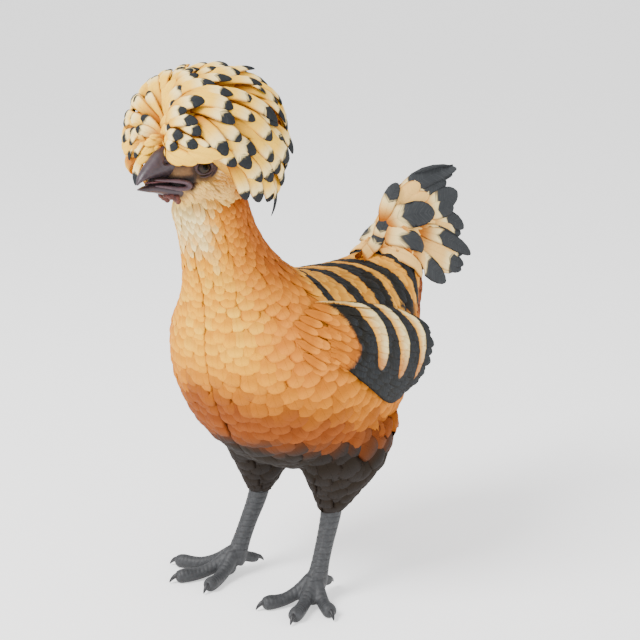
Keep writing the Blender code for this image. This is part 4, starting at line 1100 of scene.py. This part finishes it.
def crest_lie(ways):
    """Lead the crest up and away from its parting over the front, and down further off."""
    rise = np.clip(np.arctan2(ways[:, 2], -ways[:, 1]), PARTING_LOW, PARTING_HIGH) * PARTING_SPREAD
    parting = np.stack([0 * rise, -np.cos(rise), np.sin(rise)], -1)
    away = np.arccos(np.clip((ways * parting).sum(-1), -1, 1))
    off = along_surface(ways - parting, ways)
    sideways = along_surface(np.stack([np.sign(ways[:, 0]), 0 * rise, 0 * rise], -1), ways)
    off = unit(blend(off, sideways, 0.55 * step(abs(ways[:, 0]), 0.3, 0.05) * step(ways[:, 1], 0.0, -0.4)))
    down = along_surface(np.broadcast_to((0, 0.35, -1.0), ways.shape), ways)
    return unit(blend(off, down, 0.72 * step(away, 0.3, 2.0))), away


def crest_way(turn, rise):
    """Give directions from the crest's centre, by degrees from the front and above the level."""
    turn, rise = np.radians(turn), np.radians(rise)
    return np.stack([np.cos(rise) * np.sin(turn), -np.cos(rise) * np.cos(turn), np.sin(rise)], -1)


def shown_petals(draw):
    """Give tips, roots, half widths, dark tips and lifts of the photo's petals and their mirror images."""
    rows = np.array(CREST_SHOWN, float)
    mirrored = rows[rows[:, 0] > 16] * (-1, 1, -1, 1, 1, 1, 1)
    mirrored[:, :4] += draw.normal(0, 2.5, (len(mirrored), 4))
    seen = crest_way(rows[:, 0], rows[:, 1])
    clear = (crest_way(mirrored[:, 0], mirrored[:, 1]) @ seen.T).max(1) < math.cos(0.13)
    rows = np.vstack([rows, mirrored[clear]])
    tips, roots = crest_way(rows[:, 0], rows[:, 1]), crest_way(rows[:, 2], rows[:, 3])
    roots = tips + (roots - tips) * 1.35
    roots[:, 0] = np.where(roots[:, 0] * tips[:, 0] < 0, 0.0, roots[:, 0])
    return tips, unit(roots), rows[:, 4] * 1.32, rows[:, 5], rows[:, 6]


def trace_back(way, length, lean):
    """Follow the lie from each tip back to its root, or to the parting, and tell how far that is."""
    trail, ends, free = [way], np.full(len(way), CREST_STEPS), np.ones(len(way), bool)
    for number in range(CREST_STEPS):
        lie, away = crest_lie(way)
        free &= away > 0.05
        ends[~free & (ends == CREST_STEPS)] = number
        lie = unit(lie + np.cross(way, lie) * lean[:, None])
        way = np.where(free[:, None],
                       unit(way - lie * (length / CREST_STEPS / crest_reach(way))[:, None]), way)
        trail.append(way)
    return np.array(trail), ends


def crest_paths(draw):
    """Lay the petals that the photo shows, fill up round them, and trace those back along the crest's lie."""
    tips, roots, shown_half, shown_mark, shown_lift = shown_petals(draw)
    fixed, centre = len(tips), np.array(CREST_CENTRE)
    ways = np.vstack([tips, unit(draw.normal(size=(CREST_TRIES, 3)))])
    places = centre + ways * crest_reach(ways)[:, None]
    foot = np.arccos(np.clip((ways * PARTING_FOOT).sum(-1), -1, 1))
    table = np.array(CREST_GROWTH)
    apart, length, half, deep, mark = (np.interp(foot, table[:, 0], table[:, column])
                                       for column in range(1, 6))
    lie, away = crest_lie(ways)
    above = places[:, 2] - crest_rim(places) + draw.uniform(-3, 4, len(places))
    kept = thin_out(places, apart, (above > 0) & (away > 0.06), fixed, lie, 1.7)
    way, count, shares = ways[kept], len(kept), np.array(CREST_PLAN[0])
    length, half, deep, mark, above = length[kept], half[kept], deep[kept], mark[kept], above[kept]
    length, half = length * draw.uniform(0.88, 1.12, count), half * draw.uniform(0.9, 1.08, count)
    mark = mark * draw.uniform(0.7, 1.25, count) * (away[kept] > 0.42)
    mark[(above < 9) & (places[kept, 1] < -104)] = 0
    lift, tilt = draw.uniform(-1.5, 1.6, count), draw.normal(0, 0.10, count)
    trail, ends = trace_back(way, length, draw.normal(0, 0.12, count))
    part = (np.arange(CREST_STEPS + 1) / CREST_STEPS)[:, None]
    bow = np.sin(np.pi * part)[..., None] * (0, 0, 0.045)
    trail[:, :fixed] = unit(blend(tips, roots, part) + bow)
    ends[:fixed] = CREST_STEPS
    length[:fixed] = np.linalg.norm(tips - roots, axis=1) * 55
    half[:fixed] = np.minimum(shown_half, 0.36 * length[:fixed])
    mark[:fixed], lift[:fixed], deep[:fixed] = shown_mark, shown_lift, np.clip(0.26 * length[:fixed], 3, 10)
    grown = ends / CREST_STEPS
    root_away = crest_lie(trail[ends, np.arange(count)])[1]
    deep = np.where(root_away < 0.35, np.minimum(deep, 4.0), deep)
    points, facing = np.empty((count, len(shares), 3)), np.empty((count, len(shares), 3))
    every = np.arange(count)
    for station, share in enumerate(shares):
        spot = (1 - share) * ends
        low = np.minimum(spot.astype(int), CREST_STEPS - 1)
        way = unit(blend(trail[low, every], trail[low + 1, every], spot - low))
        lie, _ = crest_lie(way)
        outer = crest_reach(way) - deep * grown * (1 - np.sin(np.pi / 2 * share)) + lift * share ** 2 * grown
        points[:, station] = centre + way * outer[:, None]
        facing[:, station] = unit(way + np.cross(way, lie) * tilt[:, None])
    length, half = length * grown, half * (0.5 + 0.5 * grown)
    mark = np.minimum(mark, 0.42 * length)
    fleck = draw.random(count)
    tint = blend(DEEP_GOLD, PALE_GOLD, step(shares[None] + 0.3 * (fleck[:, None] - 0.5), 0.05, 0.6))
    cell = np.arccos(np.clip(trail[0][:, 2], -1, 1))[:, None] * unit(trail[0][:, :2])
    clear = (every < fixed) | (eye_distance(points).min(1) > 14.5)
    return part_of(feathers(points, facing, shares, half, CREST_PLAN[1], length, fleck, tint,
                            spread_cells(cell), mark=mark[:, None]), clear)


def crest_core():
    """Close the soft core under the petals, cut level with the crest's lower edge."""
    ways = sphere_ways(64, 40)
    inside = 7 + 3 * step(crest_lie(ways.reshape(-1, 3))[1], 0.4, 0.15).reshape(ways.shape[:2])
    places = np.array(CREST_CENTRE) + ways * (crest_reach(ways) - inside)[..., None]
    rim = crest_rim(places) + 6
    places[..., 2] = np.where(places[..., 2] < rim, rim + 0.12 * (places[..., 2] - rim), places[..., 2])
    return closed(places)


class WingSheet:
    """The wing's surface over the body's side, a leaf between its top edge, middle and lower edge."""

    def __init__(self):
        self.tree = search_tree(flesh_rings(BODY_STATIONS, 60, 72, ends=(2, 15)))

    def out(self, y, z, lift):
        """Tell how far from the middle the wing's sheet lies: over the body, and domed."""
        top, middle_y, middle_z = WING_DOME
        fall = 22 * ((z - middle_z) / (42 if z > middle_z else 60)) ** 2
        dome = top - 9 * ((y - middle_y) / 95) ** 2 - fall - 22 * step(y, -36, -62)
        hit = self.tree.ray_cast(Vector((200, y, z)), Vector((-1, 0, 0)))[0]
        body = (hit.x if hit else 0.0) + 0.6
        gap = dome - body
        return body + (gap + math.sqrt(gap * gap + 16)) / 2 + lift

    def over(self, y, z, lift):
        return np.array((self.out(y, z, lift), y, z))

    def spot(self, down, share, lift):
        """Give the point at a share of the way down from the top edge and of the way to the tip."""
        top, middle, low = (read_curve(line, np.array(share * 7.0)) for line in WING_LINES)
        y, z = ((1 - down) * (1 - 2 * down) * top + 4 * down * (1 - down) * middle
                + down * (2 * down - 1) * low)
        return self.over(y, z, lift)

    def shell(self):
        """Close the leaf under the feathers, thin at its edges."""
        rings = []
        for share in np.linspace(0.0, 0.965, 56):
            full = min(1, 8 * share, 12 * (1 - share))
            rings.append([self.spot(0.5 - 0.49 * math.cos(bend), share, 0.6 + 1.2 * math.sin(bend) * full)
                          for bend in turns(56)])
        return closed(np.array(rings))


def facing_out(rows, beside):
    """Give the normals of a sheet from points along it and points beside them, on her left."""
    ahead = np.gradient(rows, axis=1)
    normals = unit(np.cross(ahead, beside - rows))
    return normals * np.sign(normals[..., :1])


def covert_roots(draw):
    """Spread roots over the wing's front, y and z, up to its first crescent."""
    front, rear, low, high, apart = COVERTS
    y, z = draw.uniform(front, rear, COVERT_TRIES), draw.uniform(low, high, COVERT_TRIES)
    ahead, below = y - SHOULDER[0], SHOULDER[1] - z
    edge = np.interp(np.degrees(np.arctan2(below, np.maximum(ahead, 1))), *zip(*WING_OUTLINE))
    shown = (z < 238 + 0.3 * np.minimum(0, y + 36)) & (z > 206 - 0.75 * (np.maximum(y, -46) + 46))
    shown &= (y < -40) | (np.hypot(ahead, below) < np.minimum(0.6 * edge, 27))
    flat = np.column_stack([0 * y, y, z])
    return flat[thin_out(flat, np.full(len(flat), apart), shown), 1:]


def wing_paths(sheet, side, draw):
    """Lay one wing's feathers row over row, then small ones over its front."""
    shares = np.array(QUILL_PLAN[0])
    points, beside, halves, lengths, cells = [], [], [], [], []
    for row, (count, root, tip, half, low_lift, high_lift) in enumerate(WING_ROWS):
        for index in range(count):
            down = 0.035 + 0.93 * (index + draw.uniform(-0.15, 0.15) * (0 < index < count - 1)) / (count - 1)
            end = tip + draw.uniform(-0.03, 0.04) * step(down, 0.02, 0.2)
            places = [(root + (end - root) * share, low_lift + (high_lift - low_lift) * share)
                      for share in shares]
            points.append([sheet.spot(down, share, lift) for share, lift in places])
            beside.append([sheet.spot(down + 0.02, share, lift) for share, lift in places])
            halves.append(half * (0.5 + 0.5 * step(down, 0.0, 0.16)))
            lengths.append(np.linalg.norm(np.diff(points[-1], axis=0), axis=1).sum())
            cells.append((0.15 * row + root, down))
    for y, z in covert_roots(draw):
        slope = math.radians(float(np.interp(z, [190, 205, 222, 238], [44, 42, 36, 24])) + draw.normal(0, 4))
        way, length = np.array((math.cos(slope), -math.sin(slope))), draw.uniform(14, 19)
        places = [(y, z) + way * length * share for share in shares]
        lifts = [0.8 + 0.7 * share + 2.7 * float(step(place[0], -58, -28))
                 for place, share in zip(places, shares)]
        points.append([sheet.over(*place, lift) for place, lift in zip(places, lifts)])
        aside = 1.5 * np.array((way[1], -way[0]))
        beside.append([sheet.over(*(place + aside), lift) for place, lift in zip(places, lifts)])
        halves.append(draw.uniform(3.7, 4.5))
        lengths.append(length)
        cells.append((0.01 * y, 0.01 * z))
    points, cells, lengths = np.array(points), np.array(cells, float), np.array(lengths)
    facing = unit(facing_out(points, np.array(beside)) + (0, 0, 0.08))
    fleck = draw.random(len(points))
    tint = coat_tint(points, fleck[:, None], 0.0, 0.0)
    tint = blend(tint, RUFOUS, 0.7 * step(wing_polar(points)[1], 14, 30) * step(points[..., 1], -34, -26))
    if side < 0:
        points, facing = points * (-1, 1, 1), facing * (-1, 1, 1)
    return feathers(points, facing, shares, np.array(halves), QUILL_PLAN[1], lengths, fleck, tint,
                    spread_cells(cells))


# What a vane's point would carry, for the leaf that closes the wing under its feathers
UNDER_FEATHERS = {"along": 0.8, "across": 0.0, "half": 5.0, "to_tip": 30.0, "fleck": 0.4, "mark": 0.0}


def make_wings(draw):
    """Make each wing: its closed leaf, and the feathers over it."""
    sheet, plume = WingSheet(), feather_finish("wing feather", wing_markings)
    leaf, faces = sheet.shell()
    for name, side in SIDES:
        shell = piece("leaf_of_wing_" + name, [(leaf * (side, 1, 1), faces)], plume, "wing_feathers")
        for part, value in UNDER_FEATHERS.items():
            give(shell.data, part, np.full(len(leaf), value))
        give(shell.data, "tint", np.tile(ORANGE, (len(leaf), 1)), "FLOAT_COLOR")
        lay_vanes("feathers_of_wing_" + name, wing_paths(sheet, side, draw), plume, "wing_feathers",
                  "wing_" + name, dome=0.07, thickness=0.04, patch=0.04)


def tail_out(y, z):
    """Tell how far out the tail's sheet lies: close at its ridge, wider below, and outside the body."""
    ridge, place = np.array(TAIL_RIDGE, float), np.array((y, z))
    start, run = ridge[:-1], np.diff(ridge, axis=0)
    share = np.clip(((place - start) * run).sum(1) / (run ** 2).sum(1), 0, 1)[:, None]
    far = np.linalg.norm(place - start - run * share, axis=1).min()
    fan = 1.5 + 20 * (1 - math.exp(-max(0, far - 4) / 30))
    hit = TRUNK.ray_cast(Vector((200, y, z)), Vector((-1, 0, 0)))[0]
    body = (hit.x if hit else -20) + 1
    return body + (fan - body + math.sqrt((fan - body) ** 2 + 9)) / 2


def tail_paths(draw):
    """Lay the tail's two fans, which lean together like a tent, and the coverts over their bases."""
    shares = np.array(QUILL_PLAN[0])
    rows = np.array(TAIL_SHOWN, float)
    table = np.vstack([rows, rows])
    side = np.repeat([1.0, -1.0], len(rows))
    loose = (side < 0)[:, None]
    table[:, 4:6] += loose * draw.normal(0, 2.2, (len(table), 2)) * step(table[:, 4:5], 140, 180)
    table[:, 0:6:2] += 3.0 * loose
    table[:, 6:8] *= np.where(loose, draw.uniform(0.85, 1.15, (len(table), 2)), 1.0)
    part = shares[None, :, None]
    base, middle, tip = (table[:, None, first:first + 2] for first in (0, 2, 4))
    bend = 2 * middle - (base + tip) / 2
    flat = (1 - part) ** 2 * base + 2 * part * (1 - part) * bend + part ** 2 * tip
    stand = np.interp(shares, [0, 0.5, 1], [0.3, 1, 0.7])
    out, later, higher = (np.array([[tail_out(y + back, z + up) for y, z in row] for row in flat])
                          for back, up in ((0, 0), (2, 0), (0, 2)))
    points = np.concatenate([(side[:, None] * (out + table[:, 8:9] * stand))[..., None], flat], -1)
    points += np.maximum(points[..., 1:2] - CURLED_FROM, 0) * 0.5 * TAIL_TURN
    length = np.linalg.norm(np.diff(points, axis=1), axis=2).sum(1)
    ridge = step(out, 7, 2)
    facing = np.stack([side[:, None] + 0 * out, (out - later) / 2 - 0.6 * ridge,
                       (out - higher) / 2 + 0.35 * ridge], -1)
    tint = blend(blend(RUFOUS, ORANGE, 0.6), blend(BUFF, CREAM, 0.35), step(shares, 0.1, 0.4))
    return feathers(points, unit(facing), shares, table[:, 6], QUILL_PLAN[1], length,
                    draw.random(len(points)), np.tile(tint, (len(points), 1, 1)),
                    spread_cells(flat[:, 4] + side[:, None] * (400, 0)), mark=table[:, 7:8])


def mottled(name, colour, roughness, dark=0.62, light=1.3, scale=240.0, depth=0.0003, shade=None):
    """Give horn or bare skin a clouded colour with fine lines, darker where the shade attribute says so."""
    finish = Finish(name, Roughness=roughness, Specular_IOR_Level=0.35)
    cloud = finish.noise(finish.place(), scale, 4.0)
    fine = finish.noise(finish.place(), scale * 6, 2.0)
    if colour is None:
        base = finish.attribute("tint", "Color")
        value = cloud.step(0.3, 0.7) * (light - dark) + dark
        grey = finish.node("CombineColor", 0, Red=value, Green=value, Blue=value)
        base = finish.mix(1.0, base, grey, "MULTIPLY")
    else:
        base = finish.mix(cloud.step(0.3, 0.7), [part * dark for part in colour],
                          [part * light for part in colour])
    height = cloud * 0.5 + fine * 0.5
    if shade:
        groove = finish.attribute(shade)
        base = finish.mix(groove * 0.35, base, (0.012, 0.012, 0.013))
        height = height * 0.5 - groove
    finish.set(Base_Color=base)
    finish.bump(height, depth, 0.6)
    return finish.material


def beak_half(name, stations, squareness, finish, replaced):
    """Make one half of the beak; the upper one has nostrils dented in, with a raised rim."""
    points, faces = closed(flesh_rings(stations, 90, 64, squareness))
    if name == "upper_beak":
        away = np.linalg.norm((to_left(points) - NOSTRIL_PLACE) / NOSTRIL_SIZE, axis=1)
        inward = unit((points.mean(0) * (0, 1, 1) - points) * (1, 0, 0.35))
        depth = 1.9 * step(away, 1.15, 0.5) - 0.45 * step(abs(away - 1.55), 0.55, 0.1)
        points = points + inward * depth[:, None]
    piece(name, [(points, faces)], finish, "horn", replaced)


def make_mouth():
    """Make the beak's halves, the tongue, the fleshy rim of the mouth and the wattles."""
    horn = mottled("horn", HORN, 0.38, 0.8, 1.35, 160.0)
    beak_half("upper_beak", UPPER_BEAK_STATIONS, 1.9, horn, "beak_upper")
    beak_half("lower_beak", LOWER_BEAK_STATIONS, 2.2, horn, "beak_lower")
    for name, stations, count, finish, replaced in (
            ("tongue_flesh", TONGUE_STATIONS, 40, mottled("tongue skin", TONGUE, 0.35), ["tongue"]),
            ("mouth_lining", LINING_STATIONS, 30, mottled("mouth lining", MOUTH, 0.6), [])):
        piece(name, [closed(flesh_rings(stations, count, 32))], finish, "tongue", *replaced)
    path = np.array(GAPE_PATH)
    rim = fused("mouth_rim", [closed(tube_rings(path * (side, 1, 1, 1), 20, 80)) for side in (1, -1)], 0.5, 4)
    dress(rim, mottled("lip", LIP, 0.42, 0.75, 1.3, 300.0), "horn")
    for name, side in SIDES:
        lobes = [closed(ball_rings((side * x, y, z), (radius * 0.8, radius, radius)))
                 for x, y, z, radius in WATTLE_LOBES]
        finish = mottled("wattle skin " + name, WATTLE, 0.55, 0.5, 1.3, 420.0, 0.0008)
        dress(fused("wattle_lobes_" + name, lobes, 0.5, 8), finish, "wattle", "wattle_" + name)


def eye_finish(name):
    """Paint an eye by the degrees from its gaze: pupil, iris, then the dark rim."""
    finish = Finish(name, Roughness=0.22, Specular_IOR_Level=0.12)
    away = finish.attribute("from_pupil")
    colour = finish.mix(away.step(21, 24), PUPIL, finish.mix(finish.noise(finish.place(), 900.0, 2.0), *IRIS))
    finish.set(Base_Color=finish.mix(away.step(44, 50), colour, EYE_RIM))
    return finish.material


def lid_fold(side, out, radius, thick, tall, stand, tilt):
    """Close one fold of the lids, a ring round the eye that is fuller in places."""
    ahead = np.array((math.sin(LID_TURN), math.cos(LID_TURN), 0))
    turn, bend = turns(72), turns(20)
    spoke = ahead * np.cos(turn)[:, None] + np.array((0, 0, tall)) * np.sin(turn)[:, None]
    fat = thick * (1 + 0.35 * np.sin(turn) + 0.12 * np.sin(5 * turn + radius))[:, None]
    ring = np.array(LID_CENTRE) + out * stand + spoke[:, None] * (radius + fat * np.cos(bend))[..., None]
    ring = ring + out * (fat * np.sin(bend) + tilt * radius * np.cos(turn)[:, None])[..., None]
    index = np.arange(len(turn) * len(bend)).reshape(len(turn), len(bend))
    beside, after = np.roll(index, -1, 1), np.roll(index, -1, 0)
    faces = np.stack([index, beside, np.roll(after, -1, 1), after], -1).reshape(-1, 4).tolist()
    return ring.reshape(-1, 3) * (side, 1, 1), faces


def make_eyes():
    """Make each eye, dark with a paler ring, and the folds of its lids."""
    out = np.array((math.cos(LID_TURN), -math.sin(LID_TURN), 0.08))
    lid_skin = mottled("lid skin", DUSKY, 0.55, 0.7, 1.4, 500.0, 0.0005)
    for name, side in SIDES:
        centre, gaze = np.array(EYE_CENTRE) * (side, 1, 1), unit(out * (side, 1, 1))
        ball = closed(ball_rings(centre, [EYE_RADIUS] * 3, 64, 48))
        eye = piece("eyeball_" + name, [ball], eye_finish("eye " + name), "eye", "eye_" + name)
        give(eye.data, "from_pupil", np.degrees(np.arccos(np.clip(unit(ball[0] - centre) @ gaze, -1, 1))))
        piece("lids_" + name, [lid_fold(side, out, *fold) for fold in LID_FOLDS], lid_skin, "wattle")


def toe_lines(side):
    """Give the shank's path, then each toe's way over the floor from the shank and its length with claw."""
    path = np.array(SHANK_PATHS[side]) * (side, 1, 1, 1)
    ways = np.array(TOE_TIPS[side]) * (side, 1) - path[-1, :2]
    return path, unit(ways), np.linalg.norm(ways, axis=1)


def from_edge(row):
    """Tell how far a place lies from the nearest edge of its plate, as a share of the plate's length."""
    return np.minimum(row % 1, 1 - row % 1)


def scute_grooves(places, normals, side):
    """Give the depth of the grooves between the plates on shank and toes, from 0 to 1."""
    path, ways, _ = toe_lines(side)
    x, y = (np.interp(places[:, 2], path[::-1, 2], path[::-1, axis]) for axis in (0, 1))
    round_about = np.arctan2((places[:, 0] - x) * side, -(places[:, 1] - y)) / np.pi
    edge = from_edge(places[:, 2] / SCUTE_SPACING + 0.5 * (round_about > 0.04)) * SCUTE_SPACING
    seam = step(abs(round_about - 0.04) * 20, 0.75, 0.15) * 0.8
    shank = (np.maximum(step(edge, 0.75, 0.15), seam) * step(abs(round_about), 0.62, 0.5)
             * step(places[:, 2], 15, 24))
    away, along = np.full(len(places), 1e9), np.zeros(len(places))
    offset = places[:, :2] - path[-1, :2]
    for way in ways:
        run = offset @ way
        off = abs(offset[:, 0] * way[1] - offset[:, 1] * way[0]) + np.maximum(0, -run)
        along = np.where(off < away, run, along)
        away = np.minimum(off, away)
    edge = from_edge(along / TOE_SCUTE_SPACING) * TOE_SCUTE_SPACING
    over_toe = step(normals[:, 2], 0.0, 0.4) * step(along, 9, 14) * step(places[:, 2], 20, 13)
    toes = 0.45 * step(edge, 0.7, 0.15) * over_toe
    return np.maximum(shank, toes)


def make_legs():
    """Make each shank with its foot as one scaly skin, and its four claws."""
    scaly = mottled("leg skin", None, 0.55, 0.82, 1.22, 420.0, 0.0004, "groove")
    claw_horn = mottled("claw", CLAW, 0.4, 0.8, 1.3)
    for name, side in SIDES:
        shank, ways, lengths = toe_lines(side)
        start, claws = shank[-1, :2], []
        shapes = [closed(tube_rings(shank, 40, 60)),
                  closed(ball_rings((*(start + ways[0] * PAD_AHEAD), PAD_HEIGHT), PAD_SIZE))]
        for way, length, plan, raised in zip(ways, lengths - CLAW_LENGTH, [TOE_PLAN] * 3 + [BACK_TOE_PLAN],
                                             [0, 0, 0, BACK_CLAW_RAISED]):
            toe = [(*(start + way * length * share), height, half) for share, half, height in plan]
            shapes.append(closed(tube_rings(toe, 28, 60)))
            claw = [(*(start + way * (length + CLAW_LENGTH * share)), height + raised, half)
                    for share, height, half in CLAW_PLAN]
            claws.append(closed(tube_rings(claw, 16, 24)))
        leg = fused("leg_" + name, shapes, 0.8, 5)
        places, normals = places_of(leg.data), vertex_normals(leg.data)
        groove = scute_grooves(places, normals, side)
        places = places - normals * (GROOVE_CUT * groove)[:, None]
        places[:, 2] = np.maximum(places[:, 2], FOOT_CLEARANCE)
        moved(leg.data, places)
        give(leg.data, "groove", groove)
        # Painted shade: the leg's tint darkens on its undersides and towards the floor.
        lit = step(normals[:, 2] + 0.02 * places[:, 2], -0.5, 0.4)
        give(leg.data, "tint", blend(LEG * 0.62, LEG, lit), "FLOAT_COLOR")
        dress(leg, scaly, "leg_skin", "shank_" + name, "foot_" + name)
        piece("claws_" + name, claws, claw_horn, "horn",
              *(f"claw_{name}_{toe}" for toe in ("middle", "inner", "outer", "back")))


def put_camera():
    """Stand the camera where the photograph was taken from, with a long lens."""
    turn, rise = math.radians(CAMERA_TURN), math.radians(CAMERA_RISE)
    right = Vector((math.cos(turn), math.sin(turn), 0))
    back = Vector((math.sin(turn) * math.cos(rise), -math.cos(turn) * math.cos(rise), math.sin(rise)))
    up = back.cross(right)
    camera = bpy.data.cameras.new("camera")
    camera.lens, camera.sensor_width = CAMERA_LENS, CAMERA_FILM
    eye = bpy.data.objects.new("camera", camera)
    bpy.context.scene.collection.objects.link(eye)
    place = Vector(to_frame(CAMERA_PLACE))
    eye.matrix_world = Matrix.Translation(place) @ Matrix((right, up, back)).transposed().to_4x4()
    bpy.context.scene.camera = eye


def soft_light(name, place, size, power):
    """Hang a round light that faces the middle of the bird."""
    lamp = bpy.data.lights.new(name, "AREA")
    lamp.shape, lamp.size, lamp.energy = "DISK", size, power
    made = bpy.data.objects.new(name, lamp)
    bpy.context.scene.collection.objects.link(made)
    way = (Vector(STUDIO_AIM) - Vector(place)).to_track_quat("-Z", "Y")
    made.matrix_world = Matrix.Translation(Vector(place)) @ way.to_matrix().to_4x4()


def light_studio():
    """Lay a pale floor and light it softly from all round, a little more from her left front."""
    floor = bpy.data.meshes.new("floor")
    corners = [(x * FLOOR_REACH, y * FLOOR_REACH, 0) for x, y in ((-1, -1), (1, -1), (1, 1), (-1, 1))]
    floor.from_pydata(corners, [], [(0, 1, 2, 3)])
    ground = link("floor", floor)
    floor.materials.append(Finish("pale floor", Base_Color=(0.9, 0.9, 0.9), Roughness=0.9,
                                  Emission_Color=(1, 1, 1), Emission_Strength=0.7).material)
    world = bpy.data.worlds.new("studio")
    bpy.context.scene.world = world
    world.use_nodes = True
    world.node_tree.nodes["Background"].inputs["Color"].default_value = (1.0, 1.0, 1.0, 1)
    world.node_tree.nodes["Background"].inputs["Strength"].default_value = STUDIO_GLOW
    for name, settings in STUDIO_LIGHTS.items():
        soft_light(name, *settings)


def skin_finish():
    """Darken the skin's tint with painted shade, as deep between feathers, and break it up with fine folds.
    """
    finish = Finish("skin", Roughness=0.85)
    # Painted shade: the tint is multiplied down to between a third and two thirds, clouded by fine folds.
    folds_and_shade = finish.mix(finish.noise(finish.place(), 520.0, 3.0), (0.34, 0.29, 0.26), (0.64, 0.58, 0.54))
    finish.set(Base_Color=finish.mix(1.0, finish.attribute("tint", "Color"), folds_and_shade, "MULTIPLY"))
    finish.bump(finish.noise(finish.place(), 700.0, 3.0), 0.0006, 0.6)
    return finish.material


def make_body(draw, finish):
    """Make the skin, which carries the markings of its coat, and the coat over it."""
    skin = make_skin()
    surface = Surface(skin.data)
    coat = Coat(surface.points, surface.normals)
    # Off the head the skin's tint is raised, to be darkened again by the skin's painted shade.
    tint = coat_tint(surface.points, 0.5, coat.thigh, coat.head) * (1 + 0.7 * (1 - coat.head[:, None]))
    give(skin.data, "tint", blend(tint, SLATE, band_share(surface.points) * coat.back), "FLOAT_COLOR")
    dress(skin, finish, "plumage", "torso", "neck", "rump", "head", "thigh_left", "thigh_right")
    make_coat(surface, draw)


def make_crest(draw, finish):
    """Make the crest's petals and the soft core under them."""
    plume = feather_finish("crest feather", edge_shade=0.85, lit=(0.1, 0.7))
    lay_vanes("crest_petals", crest_paths(draw), plume, "crest_feathers", "crest",
              round_points=10, dome=0.36, patch=0.045)
    core = piece("crest_core", [crest_core()], finish, "crest_feathers")
    # The core takes the skin's painted shade, its tint raised to 1.6 times the pale gold.
    give(core.data, "tint", np.tile(1.6 * PALE_GOLD, (len(core.data.vertices), 1)), "FLOAT_COLOR")


def make_tail(draw):
    """Make the tail's feathers."""
    plume = feather_finish("tail feather", dark=GREY, lit=(0.1, 0.5))
    lay_vanes("tail_fans", tail_paths(draw), plume, "tail_feathers", "tail", dome=0.12, thickness=0.05,
              patch=0.04)


put_camera()
light_studio()
draw, skin_look = np.random.default_rng(SEED), skin_finish()
make_body(draw, skin_look)
make_crest(np.random.default_rng(CREST_SEED), skin_look)
make_wings(draw)
make_tail(draw)
make_mouth()
make_eyes()
make_legs()
